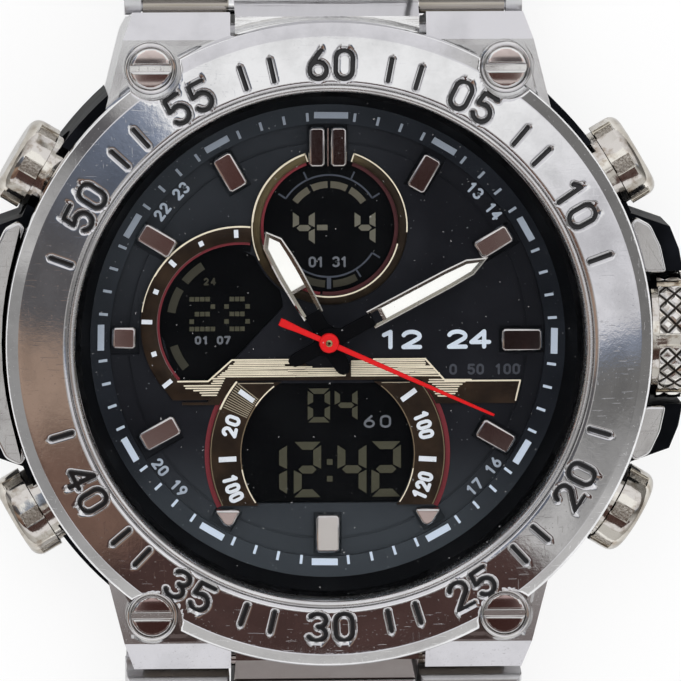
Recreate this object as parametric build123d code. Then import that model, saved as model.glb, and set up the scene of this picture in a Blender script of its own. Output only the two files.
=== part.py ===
from build123d import *
from math import asin, cos, degrees, hypot, radians, sin, tan
import os

os.makedirs("parts", exist_ok=True)

# An ana digi wrist watch, dial up, bracelet laid out flat.
# Millimetres: +Z is the dial's normal, +Y points to 12 o'clock, +X to 3 o'clock.
# The origin is the centre of the case back, on the surface that the watch lies on.

# Running and seating clearances
overrun = 1.0
running_gap = 0.05
seat_gap = 0.1
pocket_gap = 0.12

# Levels of the head, from the back up
back_height = 1.6
core_floor = 0.7
case_split = 9.4
upper_height = 1.6
dial_floor = 9.2
dial_height = 0.4
chapter_height = 0.8
gasket_height = 1.9
crystal_height = 1.7
control_level = 6.9

# Plan radii of the head: the crystal leads, and each other radius follows by a wall, a seat or a step
crystal_r = 17.9
ring_wall = 0.6
bezel_width = 4.3
band_inset = 0.85
core_step = 0.5
upper_step = 0.1
gasket_seat = 1.1
chapter_width = 1.4
cavity_seat = 1.4
back_inset = 3.7
bezel_bore_r = crystal_r + ring_wall
bezel_r = bezel_bore_r + bezel_width
band_r = bezel_r - band_inset
core_r = bezel_r + core_step
upper_r = bezel_r - upper_step
gasket_bore_r = crystal_r - gasket_seat
chapter_bore_r = gasket_bore_r - chapter_width
cavity_r = crystal_r - cavity_seat
back_r = core_r - back_inset

# Bezel ring section
bezel_height = 3.6
bezel_lip = 0.3
band_drop = 0.8
chamfer_drop = 0.7
band_crown = 0.03

# Lugs, slotted screws and their pockets; the tip is level with the case's edge at 12 o'clock
lug_inner_x = 6.9
lug_tip_x = 13.75
lug_shoulder_x = 14.45
lug_root_x = 15.75
lug_tip_y = core_r
lug_shoulder_inset = 1.9
lug_root_inset = 7.0
lug_wall = 2.9
lug_undercut = 0.75
lug_heel_inset = 1.6
lug_shoulder_y = lug_tip_y - lug_shoulder_inset
lug_root_y = lug_tip_y - lug_root_inset
lug_inside_r = core_r - lug_wall
lug_face_drop = 0.7
lug_lip = 0.5
lug_undercut_y = lug_tip_y - lug_undercut
lug_heel_y = lug_tip_y - lug_heel_inset
lug_heel_level = 1.9
lug_root_level = 2.6
pocket_depth = 0.9
pocket_front_inset = 2.3
pocket_front_y = lug_tip_y - pocket_front_inset
bezel_screw_x = 12.5
bezel_screw_inset = 3.9
bezel_screw_y = lug_tip_y - bezel_screw_inset
bezel_screw_r = 1.83
screw_rim = 0.35
screw_edge = 0.12
screw_face_drop = 0.09
bezel_screw_height = 1.15
bezel_shank_r = 0.7
bezel_shank_depth = 4.5
slot_width = 0.42
slot_depth = 0.35
scallop_gap = 0.2

# Side guards and their steel plates
guard_floor = 2.4
guard_plate_height = 1.35
guard_reach = 1.95
guard_elbow_inset = 0.3
guard_elbow_y = 6.3
guard_corner_inset = 0.95
guard_corner_y = 7.9
guard_root_inset = 2.7
guard_root_y = 9.2
guard_gap_y = 4.75
guard_reach_x = core_r + guard_reach
guard_elbow_x = guard_reach_x - guard_elbow_inset
guard_corner_x = guard_reach_x - guard_corner_inset
guard_root_x = core_r - guard_root_inset
plate_inset = 1.3
plate_elbow_inset = 0.4
plate_elbow_y = 6.6
plate_corner_inset = 1.15
plate_corner_y = 8.1
plate_root_y = 8.75
plate_gap = 0.05
plate_reach_x = guard_reach_x - plate_inset
plate_elbow_x = plate_reach_x - plate_elbow_inset
plate_corner_x = plate_reach_x - plate_corner_inset
plate_inner_r = bezel_r + plate_gap

# Crown and its stem
crown_r = 4.4
crown_inset = 0.35
crown_start_x = core_r - crown_inset
crown_length = 4.0
crown_pad_count = 6
crown_pad_angle = 50
crown_groove = 0.28
crown_rim = 0.45
crown_neck_r = 2.4
crown_pull = 1.2
stem_r = 0.6
stem_end_x = 4.6
tube_gap = 0.5
tube_start_x = cavity_r + tube_gap

# Push buttons
pusher_angle = 30.6
pusher_cap_r = 3.1
pusher_length = 2.1
pusher_skirt = 0.95
pusher_travel = 0.8
pusher_rest_gap = 0.4
pusher_stem_gap = 0.9
pusher_stem_end = cavity_r + pusher_stem_gap
pusher_notches = 6
pusher_notch_angle = 30
pusher_notch_width = 1.1
pusher_notch_depth = 0.22
pusher_notch_length = 1.45
pusher_edge = 0.8
collar_r = 2.8
spot_depth = 0.9
spot_floor = core_r - spot_depth
spot_gap = 0.35
pusher_start = spot_floor + pusher_travel + pusher_rest_gap

# Case back, its seal and screws
plug_inset = 0.9
plug_r = cavity_r - plug_inset
plug_height = 0.5
back_ring_inset = 1.6
back_ring_r = plug_r - back_ring_inset
back_ring_depth = 0.3
back_ring_width = 0.8
back_edge = 0.35
back_screw_r = 1.05
back_screw_height = 0.6
back_shank_r = 0.5
back_shank_depth = 2.2
back_screw_inset = 1.7
back_screw_pitch_r = back_r - back_screw_inset
back_screw_angle = 45
seal_width = 0.7
seal_height = 0.5

# Dial, with its three display windows; the layout is drawn for one dial radius and follows the real one
dial_seat = 0.1
step_inset = 1.2
step_depth = 0.1
layout_r = 16.4
dial_r = cavity_r - dial_seat
step_r = chapter_bore_r - step_inset
date_x = 0.14
date_y = 8.03
date_r = 5.54
date_window_r = 4.85
day_x = -7.64
day_y = 2.2
day_r = 5.6
day_window_r = 4.5
day_foot_left_x = -10.7
day_foot_right_x = -8.2
day_foot_y = -3.1
day_slant_x = -2.8
day_slant_y = 2.7
day_rim = 1.15
time_y = -8.1
time_r = 8.35
time_window_r = 6.1
time_top_y = -2.95
time_foot_y = -11.75
frame_height = 0.22
frame_gap = 0.12
marker_break_x = 1.75
marker_break_y = 12.1

# Hatched band across the dial
band_top_y = -1.36
band_step_y = -3.0
band_foot_y = -4.55
band_left_x = -6.6
band_right_x = 6.94
band_slant_x = 8.4
band_end_x = 13.7
band_tip_x = 13.3
band_tail_x = -10.4
band_tail_y = -3.75
band_height = 0.18

# Applied hour markers
marker_radius = 13.75
marker_length = 2.7
marker_width = 1.5
marker_height = 0.9
marker_bevel = 0.28
marker_seat = 0.2
pair_width = 1.07
pair_offset = 0.75
pair_length = 2.85
three_length = 2.9
three_width = 1.65
six_width = 1.73
nine_width = 1.65
nine_length = 1.75
nine_radius = 14.3
wedge_length = 1.35
wedge_radius = 14.45

# Inside the case
lcd_inset = 0.8
lcd_r = dial_r - lcd_inset
lcd_height = 0.7
lcd_gap = 0.1
housing_gap = 0.2
housing_r = cavity_r - housing_gap
housing_floor = 3.7
board_height = 0.6
board_inset = 0.5
board_r = housing_r - board_inset
board_notch_width = 5.3
board_notch_depth = 2.6
movement_r = 6.5
movement_height = 2.6
movement_floor = 5.6
large_cell_r = 8.0
large_cell_height = 1.6
large_cell_x = -5.0
large_cell_y = -4.0
small_cell_r = 3.4
small_cell_height = 2.6
small_cell_x = 10.4
small_cell_y = 5.2
cell_gap = 0.15

# Hands, with concentric pipes
hour_pipe_r = 0.95
minute_pipe_r = 0.65
seconds_arbor_r = 0.32
pipe_wall = 0.25
hand_height = 0.2
hour_level = 10.65
hand_pitch = 0.42
pipe_foot = 8.0
hour_length = 8.8
hour_width = 1.76
hour_tail = 2.45
hour_angle = 30.6
minute_length = 12.5
minute_width = 1.34
minute_tail = 3.2
minute_angle = -62.6
hand_neck = 0.95
hand_shoulder = 2.6
hand_tip_share = 1.4
hand_hub_r = 1.15
second_length = 12.8
second_width = 0.4
second_tip_width = 0.25
second_tail = 3.8
second_tail_width = 0.6
second_hub_r = 0.8
second_angle = -114
cap_pin_r = 0.27
cap_pin_height = 0.3

# Lug hinge and links of the bracelet
hinge_reach = 0.05
hinge_y = lug_tip_y + hinge_reach
hinge_level = 4.6
link_height = 4.6
outer_height = 4.4
link_pitch = 10.2
links_12_count = 5
links_6_count = 4
bracelet_width = 28.2
taper_step = 0.5
centre_half = 6.5
row_gap = 0.3
barrel_r = 0.62
pin_r = 0.4
hinge_gap = 0.72
cheek_r = 0.64
cheek_width = 1.15
cheek_gap = 0.12
socket_gap = 0.12
socket_edge = 0.95
web_start = 3.2
web_end = 1.6
web_foot = 1.7
web_top = 0.8
outer_edge = 0.45
centre_edge = 0.22

# End links between the lugs
end_start_inset = 2.85
end_start_y = lug_tip_y - end_start_inset
end_floor = 2.3
end_top = 9.3
end_bend_inset = 0.4
end_bend_y = lug_tip_y - end_bend_inset
end_bend_angle = 20
bar_r = 0.75
bar_inset = 1.8
bar_y = lug_tip_y - bar_inset
bar_level = 6.0
bar_half = 9.2

# Fold-over clasp
clasp_length = 34.0
clasp_height = 5.2
clasp_wall = 1.1
clasp_roof = 1.2
clasp_block = 3.4
clasp_edge = 0.7
blade_half = 7.5
blade_height = 0.85
blade_gap = 0.6
blade_knuckle_r = 0.9
blade_pin_r = 0.5
knuckle_half = 3.0
knuckle_gap = 0.15
blade_far_inset = 2.2
blade_near = 6.4
eye_bore_r = 0.45
cover_notch_reach = 3.6
cover_notch_gap = 0.4

bezel_floor = case_split + upper_height
bezel_top = bezel_floor + bezel_height
dial_top = dial_floor + dial_height
chapter_top = dial_top + chapter_height
crystal_floor = chapter_top + gasket_height
link_level = link_height / 2
first_tilt = degrees(asin((hinge_level - link_level) / link_pitch))


def save(node, shape):
    export_step(shape, f"parts/{node}.step")


def disc(radius, height, floor=0, x=0, y=0):
    """A round plate or pin that stands on a level."""
    return Pos(x, y, floor) * extrude(Circle(radius), amount=height)


def ring(outer, inner, height, floor=0):
    return Pos(0, 0, floor) * extrude(Circle(outer) - Circle(inner), amount=height)


def prism(points, height, floor=0):
    face = make_face(Polyline(*points, close=True))
    return Pos(0, 0, floor) * extrude(face, amount=height)


def turned(points):
    """A body of revolution about Z from radius and height points."""
    section = make_face(Polyline(*[(r, 0, z) for r, z in points], close=True))
    return revolve(section, Axis.Z)


def rod(radius, start, end, level=0, y=0):
    """A rod along X."""
    return Pos(start, y, level) * Rot(0, 90, 0) * extrude(Circle(radius), amount=end - start)


def cross_rod(radius, half, y, level):
    """A rod across the bracelet, centred on x = 0."""
    return rod(radius, -half, half, level, y)


def corners():
    return [(sx, sy) for sy in (1, -1) for sx in (1, -1)]


def mirror_to(shape, sx, sy):
    """Carries a shape of the +X +Y quarter to another quarter."""
    out = shape
    if sx < 0:
        out = mirror(out, Plane.YZ)
    if sy < 0:
        out = mirror(out, Plane.XZ)
    return out


def pusher_places():
    return {
        "pusher_2": pusher_angle,
        "pusher_4": -pusher_angle,
        "pusher_8": 180 + pusher_angle,
        "pusher_10": 180 - pusher_angle,
    }


def at_pusher(angle, shape):
    """Carries a shape made along +X at z = 0 to a pusher's axis."""
    return Pos(0, 0, control_level) * Rot(0, 0, angle) * shape


# Plan of one lug, in the +X +Y corner
def lug_plan():
    return [
        (lug_inner_x, lug_root_y),
        (lug_inner_x, lug_tip_y),
        (lug_tip_x, lug_tip_y),
        (lug_shoulder_x, lug_shoulder_y),
        (lug_root_x, lug_root_y),
    ]


def lug_side():
    """Side view of one lug, extruded across it."""
    points = [
        (lug_root_y - overrun, lug_root_level),
        (lug_root_y - overrun, bezel_floor),
        (lug_shoulder_y, bezel_floor),
        (lug_tip_y, bezel_floor - lug_face_drop),
        (lug_undercut_y, hinge_level + barrel_r),
        (lug_undercut_y, hinge_level - barrel_r),
        (lug_heel_y, lug_heel_level),
        (lug_inside_r - overrun, lug_heel_level),
    ]
    face = make_face(Polyline(*[(0, y, z) for y, z in points], close=True))
    return extrude(face, amount=lug_root_x + overrun, dir=(1, 0, 0))


def lug():
    plan = prism(lug_plan(), bezel_floor - core_floor, core_floor)
    block = (plan & lug_side()) - disc(lug_inside_r, case_split, 0)
    inset = [
        (lug_inner_x + lug_lip, lug_root_y - overrun),
        (lug_inner_x + lug_lip, pocket_front_y),
        (lug_shoulder_x - lug_lip, pocket_front_y),
        (lug_root_x - lug_lip, lug_root_y - overrun),
    ]
    pocket = prism(inset, pocket_depth + overrun, bezel_floor - pocket_depth)
    return block - (pocket - disc(upper_r, pocket_depth + overrun * 2, bezel_floor - pocket_depth - overrun))


def upper_case():
    body = ring(upper_r, crystal_r, upper_height, case_split)
    seat = disc(
        bezel_screw_r + scallop_gap,
        pocket_depth + overrun,
        bezel_floor - pocket_depth,
        bezel_screw_x,
        bezel_screw_y,
    )
    shank = disc(
        bezel_shank_r,
        bezel_shank_depth + overrun,
        bezel_floor - pocket_depth - bezel_shank_depth,
        bezel_screw_x,
        bezel_screw_y,
    )
    bar = rod(bar_r, lug_inner_x - overrun, bar_half + seat_gap, bar_level, bar_y)
    one = lug() - bar
    for sx, sy in corners():
        body += mirror_to(one, sx, sy)
        body -= mirror_to(seat + shank, sx, sy)
    body -= disc(crystal_r, upper_height * 2, case_split)
    for angle in pusher_places().values():
        body -= at_pusher(angle, rod(pusher_cap_r + spot_gap, spot_floor, core_r + overrun * 2))
    return body


def guard_plan(open_middle):
    """Upper half of a side guard's plan, on the +X side."""
    half = [
        (guard_root_x, guard_root_y),
        (guard_corner_x, guard_corner_y),
        (guard_elbow_x, guard_elbow_y),
        (guard_reach_x, guard_gap_y),
    ]
    if open_middle:
        return [(guard_root_x, guard_gap_y)] + half
    return half + [(x, -y) for x, y in reversed(half)]


def case_core():
    height = case_split - core_floor
    body = disc(core_r, height, core_floor)
    upper_right = guard_plan(True)
    lower_right = [(x, -y) for x, y in upper_right]
    left = [(-x, y) for x, y in guard_plan(False)]
    for points in (upper_right, lower_right, left):
        body += prism(points, case_split - guard_floor, guard_floor)
    body -= disc(cavity_r, case_split, back_height)
    body -= disc(back_r + seat_gap, back_height, 0)
    body -= ring(plug_r + seal_width, plug_r - overrun, seal_height, back_height)
    block = Box(lug_inner_x * 2, overrun + core_r - lug_inside_r, case_split * 2)
    for side in (1, -1):
        body -= Pos(0, side * (lug_inside_r + (overrun + core_r - lug_inside_r) / 2), case_split) * block
    one = prism(lug_plan(), case_split * 2, -overrun) - disc(lug_inside_r, case_split * 2, -overrun)
    for sx, sy in corners():
        body -= mirror_to(one, sx, sy)
    for angle in pusher_places().values():
        body -= at_pusher(angle, rod(pusher_cap_r + spot_gap, spot_floor, core_r + overrun * 2))
        body -= at_pusher(angle, rod(stem_r + running_gap, cavity_r - overrun, core_r))
    body -= rod(crown_r + spot_gap, spot_floor, guard_reach_x + overrun, control_level)
    body -= rod(stem_r * 2, tube_start_x - overrun, spot_floor + overrun, control_level)
    for x, y in back_screw_places():
        body -= disc(back_shank_r, back_shank_depth + back_height, 0, x, y)
    return body


def guard_plates():
    half = [
        (plate_corner_x, plate_corner_y),
        (plate_elbow_x, plate_elbow_y),
        (plate_reach_x, guard_gap_y),
    ]
    inner = upper_r - overrun
    start = case_split
    right = [(inner, guard_gap_y), (inner, plate_root_y)] + half
    left = [(inner, plate_root_y)] + half
    left = left + [(x, -y) for x, y in reversed(left)]
    plates = []
    for points in (right, [(x, -y) for x, y in right], [(-x, y) for x, y in left]):
        plate = prism(points, guard_plate_height, start) - disc(plate_inner_r, guard_plate_height, start)
        plates.append(plate)
    return plates


def screw(head_r, height, shank_r, shank, rim):
    """A slotted screw with its head's underside at z = 0."""
    head = disc(head_r, height)
    head = chamfer(head.edges().group_by(Axis.Z)[-1], screw_edge)
    head -= disc(head_r - rim, height, height - screw_face_drop)
    head -= Pos(0, 0, height) * Box(head_r * 3, slot_width, slot_depth * 2)
    return head + disc(shank_r, shank + height / 2, -shank)


def bezel_screws():
    one = screw(bezel_screw_r, bezel_screw_height, bezel_shank_r, bezel_shank_depth, screw_rim)
    floor = bezel_floor - pocket_depth
    return [Pos(sx * bezel_screw_x, sy * bezel_screw_y, floor) * one for sx, sy in corners()]


def bezel():
    lip_r = bezel_bore_r + bezel_lip
    band_top = bezel_top - bezel_lip / 2
    crown_r_mid = (lip_r + band_r) / 2
    crown_z_mid = band_top - band_drop / 2 + band_crown
    lower = Polyline(
        (band_r, 0, band_top - band_drop),
        (bezel_r, 0, band_top - band_drop - chamfer_drop),
        (bezel_r, 0, bezel_floor),
        (bezel_bore_r, 0, bezel_floor),
        (bezel_bore_r, 0, bezel_top - bezel_lip),
        (lip_r, 0, band_top),
    )
    band = ThreePointArc(
        (lip_r, 0, band_top),
        (crown_r_mid, 0, crown_z_mid),
        (band_r, 0, band_top - band_drop),
    )
    body = revolve(make_face([lower, band]), Axis.Z)
    scallop = disc(bezel_screw_r + scallop_gap, bezel_height * 2, case_split, bezel_screw_x, bezel_screw_y)
    for sx, sy in corners():
        body -= mirror_to(scallop, sx, sy)
    return body


def crystal():
    body = disc(crystal_r, crystal_height, crystal_floor)
    return chamfer(body.edges().group_by(Axis.Z)[-1], seat_gap)


def crystal_gasket():
    return turned(
        [
            (gasket_bore_r, chapter_top),
            (crystal_r, chapter_top),
            (crystal_r, crystal_floor),
            (gasket_bore_r + seal_width, crystal_floor),
        ]
    )


def retaining_ring():
    lip = bezel_top - bezel_lip
    return turned(
        [
            (crystal_r + running_gap, bezel_floor),
            (bezel_bore_r, bezel_floor),
            (bezel_bore_r, lip),
            (crystal_r + running_gap, lip - seat_gap),
        ]
    )


def chapter_ring():
    return turned(
        [
            (chapter_bore_r, dial_top),
            (crystal_r - running_gap, dial_top),
            (crystal_r - running_gap, chapter_top),
            (gasket_bore_r, chapter_top),
            (chapter_bore_r, dial_top + chapter_height / 2),
        ]
    )


def laid_out(length):
    """A length of the dial's layout at the dial's real size."""
    return length * dial_r / layout_r


def laid_flat(flat):
    """A flat shape of the dial's layout at the dial's real size."""
    return flat.scale(dial_r / layout_r)


# Hour markers: angle from 12 o'clock clockwise, radius, length along the radius, width
def marker_table():
    plain = [(a, marker_radius, marker_length, marker_width) for a in (30, 60, 120, 240, 300, 330)]
    return plain + [
        (90, marker_radius, three_length, three_width),
        (180, marker_radius, marker_length, six_width),
        (270, nine_radius, nine_length, nine_width),
        (150, wedge_radius, wedge_length, marker_width),
        (210, wedge_radius, wedge_length, marker_width),
    ]


def marker_at(angle, radius, length, width, grow, height, bevel):
    across = laid_out(width) + grow * 2
    along = laid_out(length) + grow * 2
    block = Box(across, along, height, align=(Align.CENTER, Align.CENTER, Align.MIN))
    if bevel:
        block = chamfer(block.edges().group_by(Axis.Z)[-1], bevel)
    return Rot(0, 0, -angle) * Pos(0, laid_out(radius), dial_top - marker_seat) * block


def all_markers(grow, height, bevel):
    out = [marker_at(a, r, length, width, grow, height, bevel) for a, r, length, width in marker_table()]
    for side in (1, -1):
        bar = marker_at(0, marker_radius, pair_length, pair_width, grow, height, bevel)
        out.append(Pos(side * laid_out(pair_offset), 0, 0) * bar)
    keep_out = laid_flat((Pos(0, time_y) * Circle(time_r + frame_gap)) & time_strip(frame_gap))
    block = Pos(0, 0, dial_floor) * extrude(keep_out, amount=marker_height * 2)
    return [marker - block for marker in out]


def hour_markers():
    return all_markers(0, marker_height, marker_bevel)


def date_window():
    return Pos(date_x, date_y) * Circle(date_window_r)


def left_of_slant(offset):
    """The half plane left of the day window's slanted edge."""
    dx, dy = day_slant_x - day_foot_right_x, day_slant_y - day_foot_y
    length = hypot(dx, dy)
    nx, ny = dy / length, -dx / length
    ox, oy = nx * offset, ny * offset
    reach = dial_r * 2
    ux, uy = dx / length * reach, dy / length * reach
    points = [
        (day_foot_right_x + ox - ux, day_foot_y + oy - uy),
        (day_foot_right_x + ox + ux, day_foot_y + oy + uy),
        (day_foot_right_x + ox + ux - nx * reach, day_foot_y + oy + uy - ny * reach),
        (day_foot_right_x + ox - ux - nx * reach, day_foot_y + oy - uy - ny * reach),
    ]
    return make_face(Polyline(*points, close=True))


def day_shape(radius, rim):
    """The day display's outline: a circle that runs down to a flat foot, cut by a slant."""
    left = day_x - radius
    points = [
        (left, day_y),
        (day_foot_left_x - rim / 2, day_foot_y - rim),
        (day_foot_right_x + rim, day_foot_y - rim),
        (day_x + radius, day_y),
    ]
    shape = Pos(day_x, day_y) * Circle(radius) + make_face(Polyline(*points, close=True))
    return shape & left_of_slant(rim / 2)


def day_window():
    return day_shape(day_window_r, 0) - Pos(date_x, date_y) * Circle(date_r + frame_gap)


def time_strip(grow):
    width = time_r * 3
    height = time_top_y - time_foot_y
    return Pos(0, (time_top_y + time_foot_y) / 2) * Rectangle(width, height + grow * 2)


def time_window():
    return (Pos(0, time_y) * Circle(time_window_r)) & time_strip(-frame_gap)


def date_frame():
    flat = Pos(date_x, date_y) * Circle(date_r) - date_window()
    opening = Pos(0, marker_break_y + date_r) * Rectangle(marker_break_x * 2, date_r * 2)
    return Pos(0, 0, dial_top) * extrude(laid_flat(flat - opening), amount=frame_height)


def day_frame():
    flat = day_shape(day_r, day_rim) - day_shape(day_window_r, 0)
    flat = flat - Pos(date_x, date_y) * Circle(date_r + frame_gap)
    body = Pos(0, 0, dial_top) * extrude(laid_flat(flat), amount=frame_height)
    for pocket in all_markers(pocket_gap, marker_height, 0):
        body -= pocket
    return body


def time_frame():
    flat = (Pos(0, time_y) * Circle(time_r) & time_strip(0)) - Pos(0, time_y) * Circle(time_window_r)
    return Pos(0, 0, dial_top) * extrude(laid_flat(flat), amount=frame_height)


def dial_band():
    points = [
        (band_left_x, band_top_y),
        (band_right_x, band_top_y),
        (band_slant_x, band_step_y),
        (band_end_x, band_step_y),
        (band_tip_x, band_foot_y),
        (0, band_foot_y),
        (band_tail_x + frame_gap, band_foot_y),
        (band_tail_x, band_tail_y),
    ]
    flat = make_face(Polyline(*points, close=True))
    flat = flat - (Pos(0, time_y) * Circle(time_r + frame_gap) & time_strip(frame_gap))
    flat = flat - day_shape(day_r + frame_gap, day_rim + frame_gap)
    flat = flat - Circle(hand_hub_r * 2)
    return Pos(0, 0, dial_top) * extrude(laid_flat(flat), amount=band_height)


def dial():
    body = disc(dial_r, dial_height, dial_floor)
    body -= ring(step_r, step_r - step_depth * 2, dial_height, dial_top - step_depth)
    body -= disc(hour_pipe_r + seat_gap, dial_height * 3, dial_floor - dial_height)
    for window in (date_window(), day_window(), time_window()):
        opening = extrude(laid_flat(window), amount=dial_height + overrun * 2)
        body -= Pos(0, 0, dial_floor - overrun) * opening
    for pocket in all_markers(pocket_gap, marker_height, 0):
        body -= pocket
    return body


def lcd_panel():
    floor = dial_floor - lcd_gap - lcd_height
    return disc(lcd_r, lcd_height, floor) - disc(hour_pipe_r + seat_gap, lcd_height * 3, floor - lcd_height)


def cell_places():
    """Radius, height and centre of each cell."""
    large = (laid_out(large_cell_r), large_cell_height, laid_out(large_cell_x), laid_out(large_cell_y))
    small = (laid_out(small_cell_r), small_cell_height, laid_out(small_cell_x), laid_out(small_cell_y))
    return [large, small]


def module_housing():
    height = dial_floor - housing_floor
    body = disc(housing_r, height, housing_floor)
    body -= disc(lcd_r + seat_gap, lcd_height + lcd_gap + overrun, dial_floor - lcd_gap - lcd_height)
    body -= disc(movement_r + seat_gap, height + overrun, movement_floor)
    for radius, depth, x, y in cell_places():
        body -= disc(radius + cell_gap, depth + cell_gap + overrun, housing_floor - overrun, x, y)
    body -= rod(stem_r + seat_gap, 0, housing_r + overrun, control_level)
    return body


def circuit_board():
    floor = housing_floor - board_height
    notch = Pos(0, board_r, floor) * Box(board_notch_width, board_notch_depth, board_height * 3)
    return disc(board_r, board_height, floor) - notch


def battery_cells():
    cells = [disc(radius, height, housing_floor, x, y) for radius, height, x, y in cell_places()]
    return [chamfer(cell.edges().group_by(Axis.Z)[0], cell_gap) for cell in cells]


def quartz_movement():
    body = disc(movement_r, movement_height, movement_floor)
    body = chamfer(body.edges().group_by(Axis.Z)[-1], seat_gap)
    body -= disc(hour_pipe_r + running_gap, movement_height, pipe_foot - running_gap)
    body -= rod(stem_r + running_gap, stem_end_x - crown_pull / 2, movement_r + overrun, control_level)
    return body


def back_screw_places():
    x = back_screw_pitch_r * cos(radians(back_screw_angle))
    y = back_screw_pitch_r * sin(radians(back_screw_angle))
    return [(sx * x, sy * y) for sx, sy in corners()]


def case_back():
    body = disc(back_r, back_height)
    body = chamfer(body.edges().group_by(Axis.Z)[0], back_edge)
    body += disc(plug_r, plug_height, back_height)
    body -= ring(back_ring_r + back_ring_width, back_ring_r, back_ring_depth * 2, -back_ring_depth)
    for x, y in back_screw_places():
        body -= disc(back_screw_r + seat_gap, back_screw_height + seat_gap, 0, x, y)
        body -= disc(back_shank_r + seat_gap, back_height * 2, 0, x, y)
    return body


def case_back_screws():
    one = screw(back_screw_r, back_screw_height, back_shank_r, back_shank_depth, screw_rim)
    level = back_screw_height + seat_gap
    return [Pos(x, y, level) * Rot(180, 0, 0) * one for x, y in back_screw_places()]


def case_back_gasket():
    return ring(plug_r + seal_width, plug_r, seal_height, back_height)


def crown_tube():
    tube = rod(stem_r * 2, tube_start_x, crown_start_x - seat_gap, control_level)
    return tube - rod(stem_r + running_gap, tube_start_x - overrun, crown_start_x, control_level)


def crown():
    pad_length = crown_length - crown_rim * 2
    start = crown_start_x + crown_rim
    body = rod(crown_r - crown_groove, crown_start_x, crown_start_x + crown_length)
    body = chamfer(body.edges().group_by(Axis.X)[-1], crown_groove)
    body += rod(crown_r, crown_start_x, start)
    body += rod(crown_r, start + pad_length - crown_rim, start + pad_length)
    wedge_reach = crown_r * 2
    half = radians(crown_pad_angle / 2)
    wedge_half = wedge_reach * tan(half)
    corner = (0, wedge_reach, wedge_half)
    wedge = make_face(Polyline((0, 0, 0), corner, (0, wedge_reach, -wedge_half), close=True))
    pad = Pos(start, 0, 0) * extrude(wedge, amount=pad_length, dir=(1, 0, 0))
    pad = pad & rod(crown_r, start, start + pad_length)
    for i in range(crown_pad_count):
        body += Rot(360 / crown_pad_count * i, 0, 0) * pad
    body -= rod(stem_r, crown_start_x - overrun, start + crown_rim)
    body -= rod(crown_neck_r, crown_start_x - overrun, start - crown_rim / 2)
    return Pos(0, 0, control_level) * body


def crown_stem():
    return rod(stem_r - running_gap / 2, stem_end_x, crown_start_x + crown_rim * 2, control_level)


def pusher_collar():
    collar = rod(collar_r, spot_floor, pusher_start + running_gap)
    collar = chamfer(collar.edges().group_by(Axis.X)[-1], seat_gap)
    return collar - rod(stem_r + running_gap, spot_floor - overrun, pusher_start + overrun)


def pusher():
    end = pusher_start + pusher_length
    body = rod(pusher_cap_r, pusher_start, end)
    body = fillet(body.edges().group_by(Axis.X)[-1], pusher_edge)
    body -= rod(collar_r + seat_gap, pusher_start - overrun, pusher_start + pusher_skirt)
    notch = Pos(pusher_start, pusher_cap_r, 0) * Box(
        pusher_notch_length * 2, pusher_notch_depth * 2, pusher_notch_width
    )
    for i in range(pusher_notches):
        body -= Rot(pusher_notch_angle + 360 / pusher_notches * i, 0, 0) * notch
    return body + rod(stem_r, pusher_stem_end, end - pusher_skirt / 2)


# Hands, pointing to 12 o'clock before they are turned
def hand_blade(length, width, tail):
    shoulder = hand_shoulder
    return [
        (-hand_neck / 2, -tail),
        (hand_neck / 2, -tail),
        (hand_neck / 2, shoulder),
        (width / 2, shoulder + width / 2),
        (width / 2, length - width * hand_tip_share),
        (0, length),
        (-width / 2, length - width * hand_tip_share),
        (-width / 2, shoulder + width / 2),
        (-hand_neck / 2, shoulder),
    ]


def pointer(length, width, tail, pipe_r, level, angle, foot):
    blade = make_face(Polyline(*hand_blade(length, width, tail), close=True))
    flat = blade + Circle(hand_hub_r)
    body = Pos(0, 0, level) * extrude(flat, amount=hand_height)
    body += disc(pipe_r, level - foot, foot)
    body -= disc(pipe_r - pipe_wall, level * 2, 0)
    return Rot(0, 0, angle) * body


def hour_hand():
    length = laid_out(hour_length)
    return pointer(length, hour_width, hour_tail, hour_pipe_r, hour_level, hour_angle, pipe_foot)


def minute_hand():
    level = hour_level + hand_pitch
    length = laid_out(minute_length)
    return pointer(length, minute_width, minute_tail, minute_pipe_r, level, minute_angle, pipe_foot)


def second_hand():
    level = hour_level + hand_pitch * 2
    points = [
        (-second_tail_width / 2, -second_tail),
        (second_tail_width / 2, -second_tail),
        (second_width / 2, 0),
        (second_tip_width / 2, laid_out(second_length)),
        (-second_tip_width / 2, laid_out(second_length)),
        (-second_width / 2, 0),
    ]
    flat = make_face(Polyline(*points, close=True)) + Circle(second_hub_r)
    body = Pos(0, 0, level) * extrude(flat, amount=hand_height)
    body += disc(seconds_arbor_r, level - pipe_foot, pipe_foot)
    body += disc(cap_pin_r, cap_pin_height, level)
    return Rot(0, 0, second_angle) * body


def end_link():
    """The fixed end link at 12 o'clock, with the nose and barrels of the lug hinge."""
    nose_r = link_height / 2
    turn = radians(end_bend_angle)
    tangent = (hinge_y + nose_r * cos(turn), hinge_level + nose_r * sin(turn))
    side = [
        (end_start_y, end_floor),
        (end_start_y, end_top),
        (end_bend_y, end_top),
        tangent,
        (hinge_y, end_floor),
    ]
    face = make_face(Polyline(*[(0, y, z) for y, z in side], close=True))
    body = Pos(-centre_half, 0, 0) * extrude(face, amount=centre_half * 2, dir=(1, 0, 0))
    body += cross_rod(nose_r, centre_half, hinge_y, hinge_level)
    body += cross_rod(barrel_r, barrel_half(bracelet_width), hinge_y, hinge_level)
    body -= cross_rod(pin_r + running_gap, bracelet_width, hinge_y, hinge_level)
    body -= cross_rod(bar_r, bracelet_width, bar_y, bar_level)
    return body


def barrel_half(width):
    """Half length of the barrels that fit between the cheeks of a link of this width."""
    return width / 2 - cheek_width - cheek_gap


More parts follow.
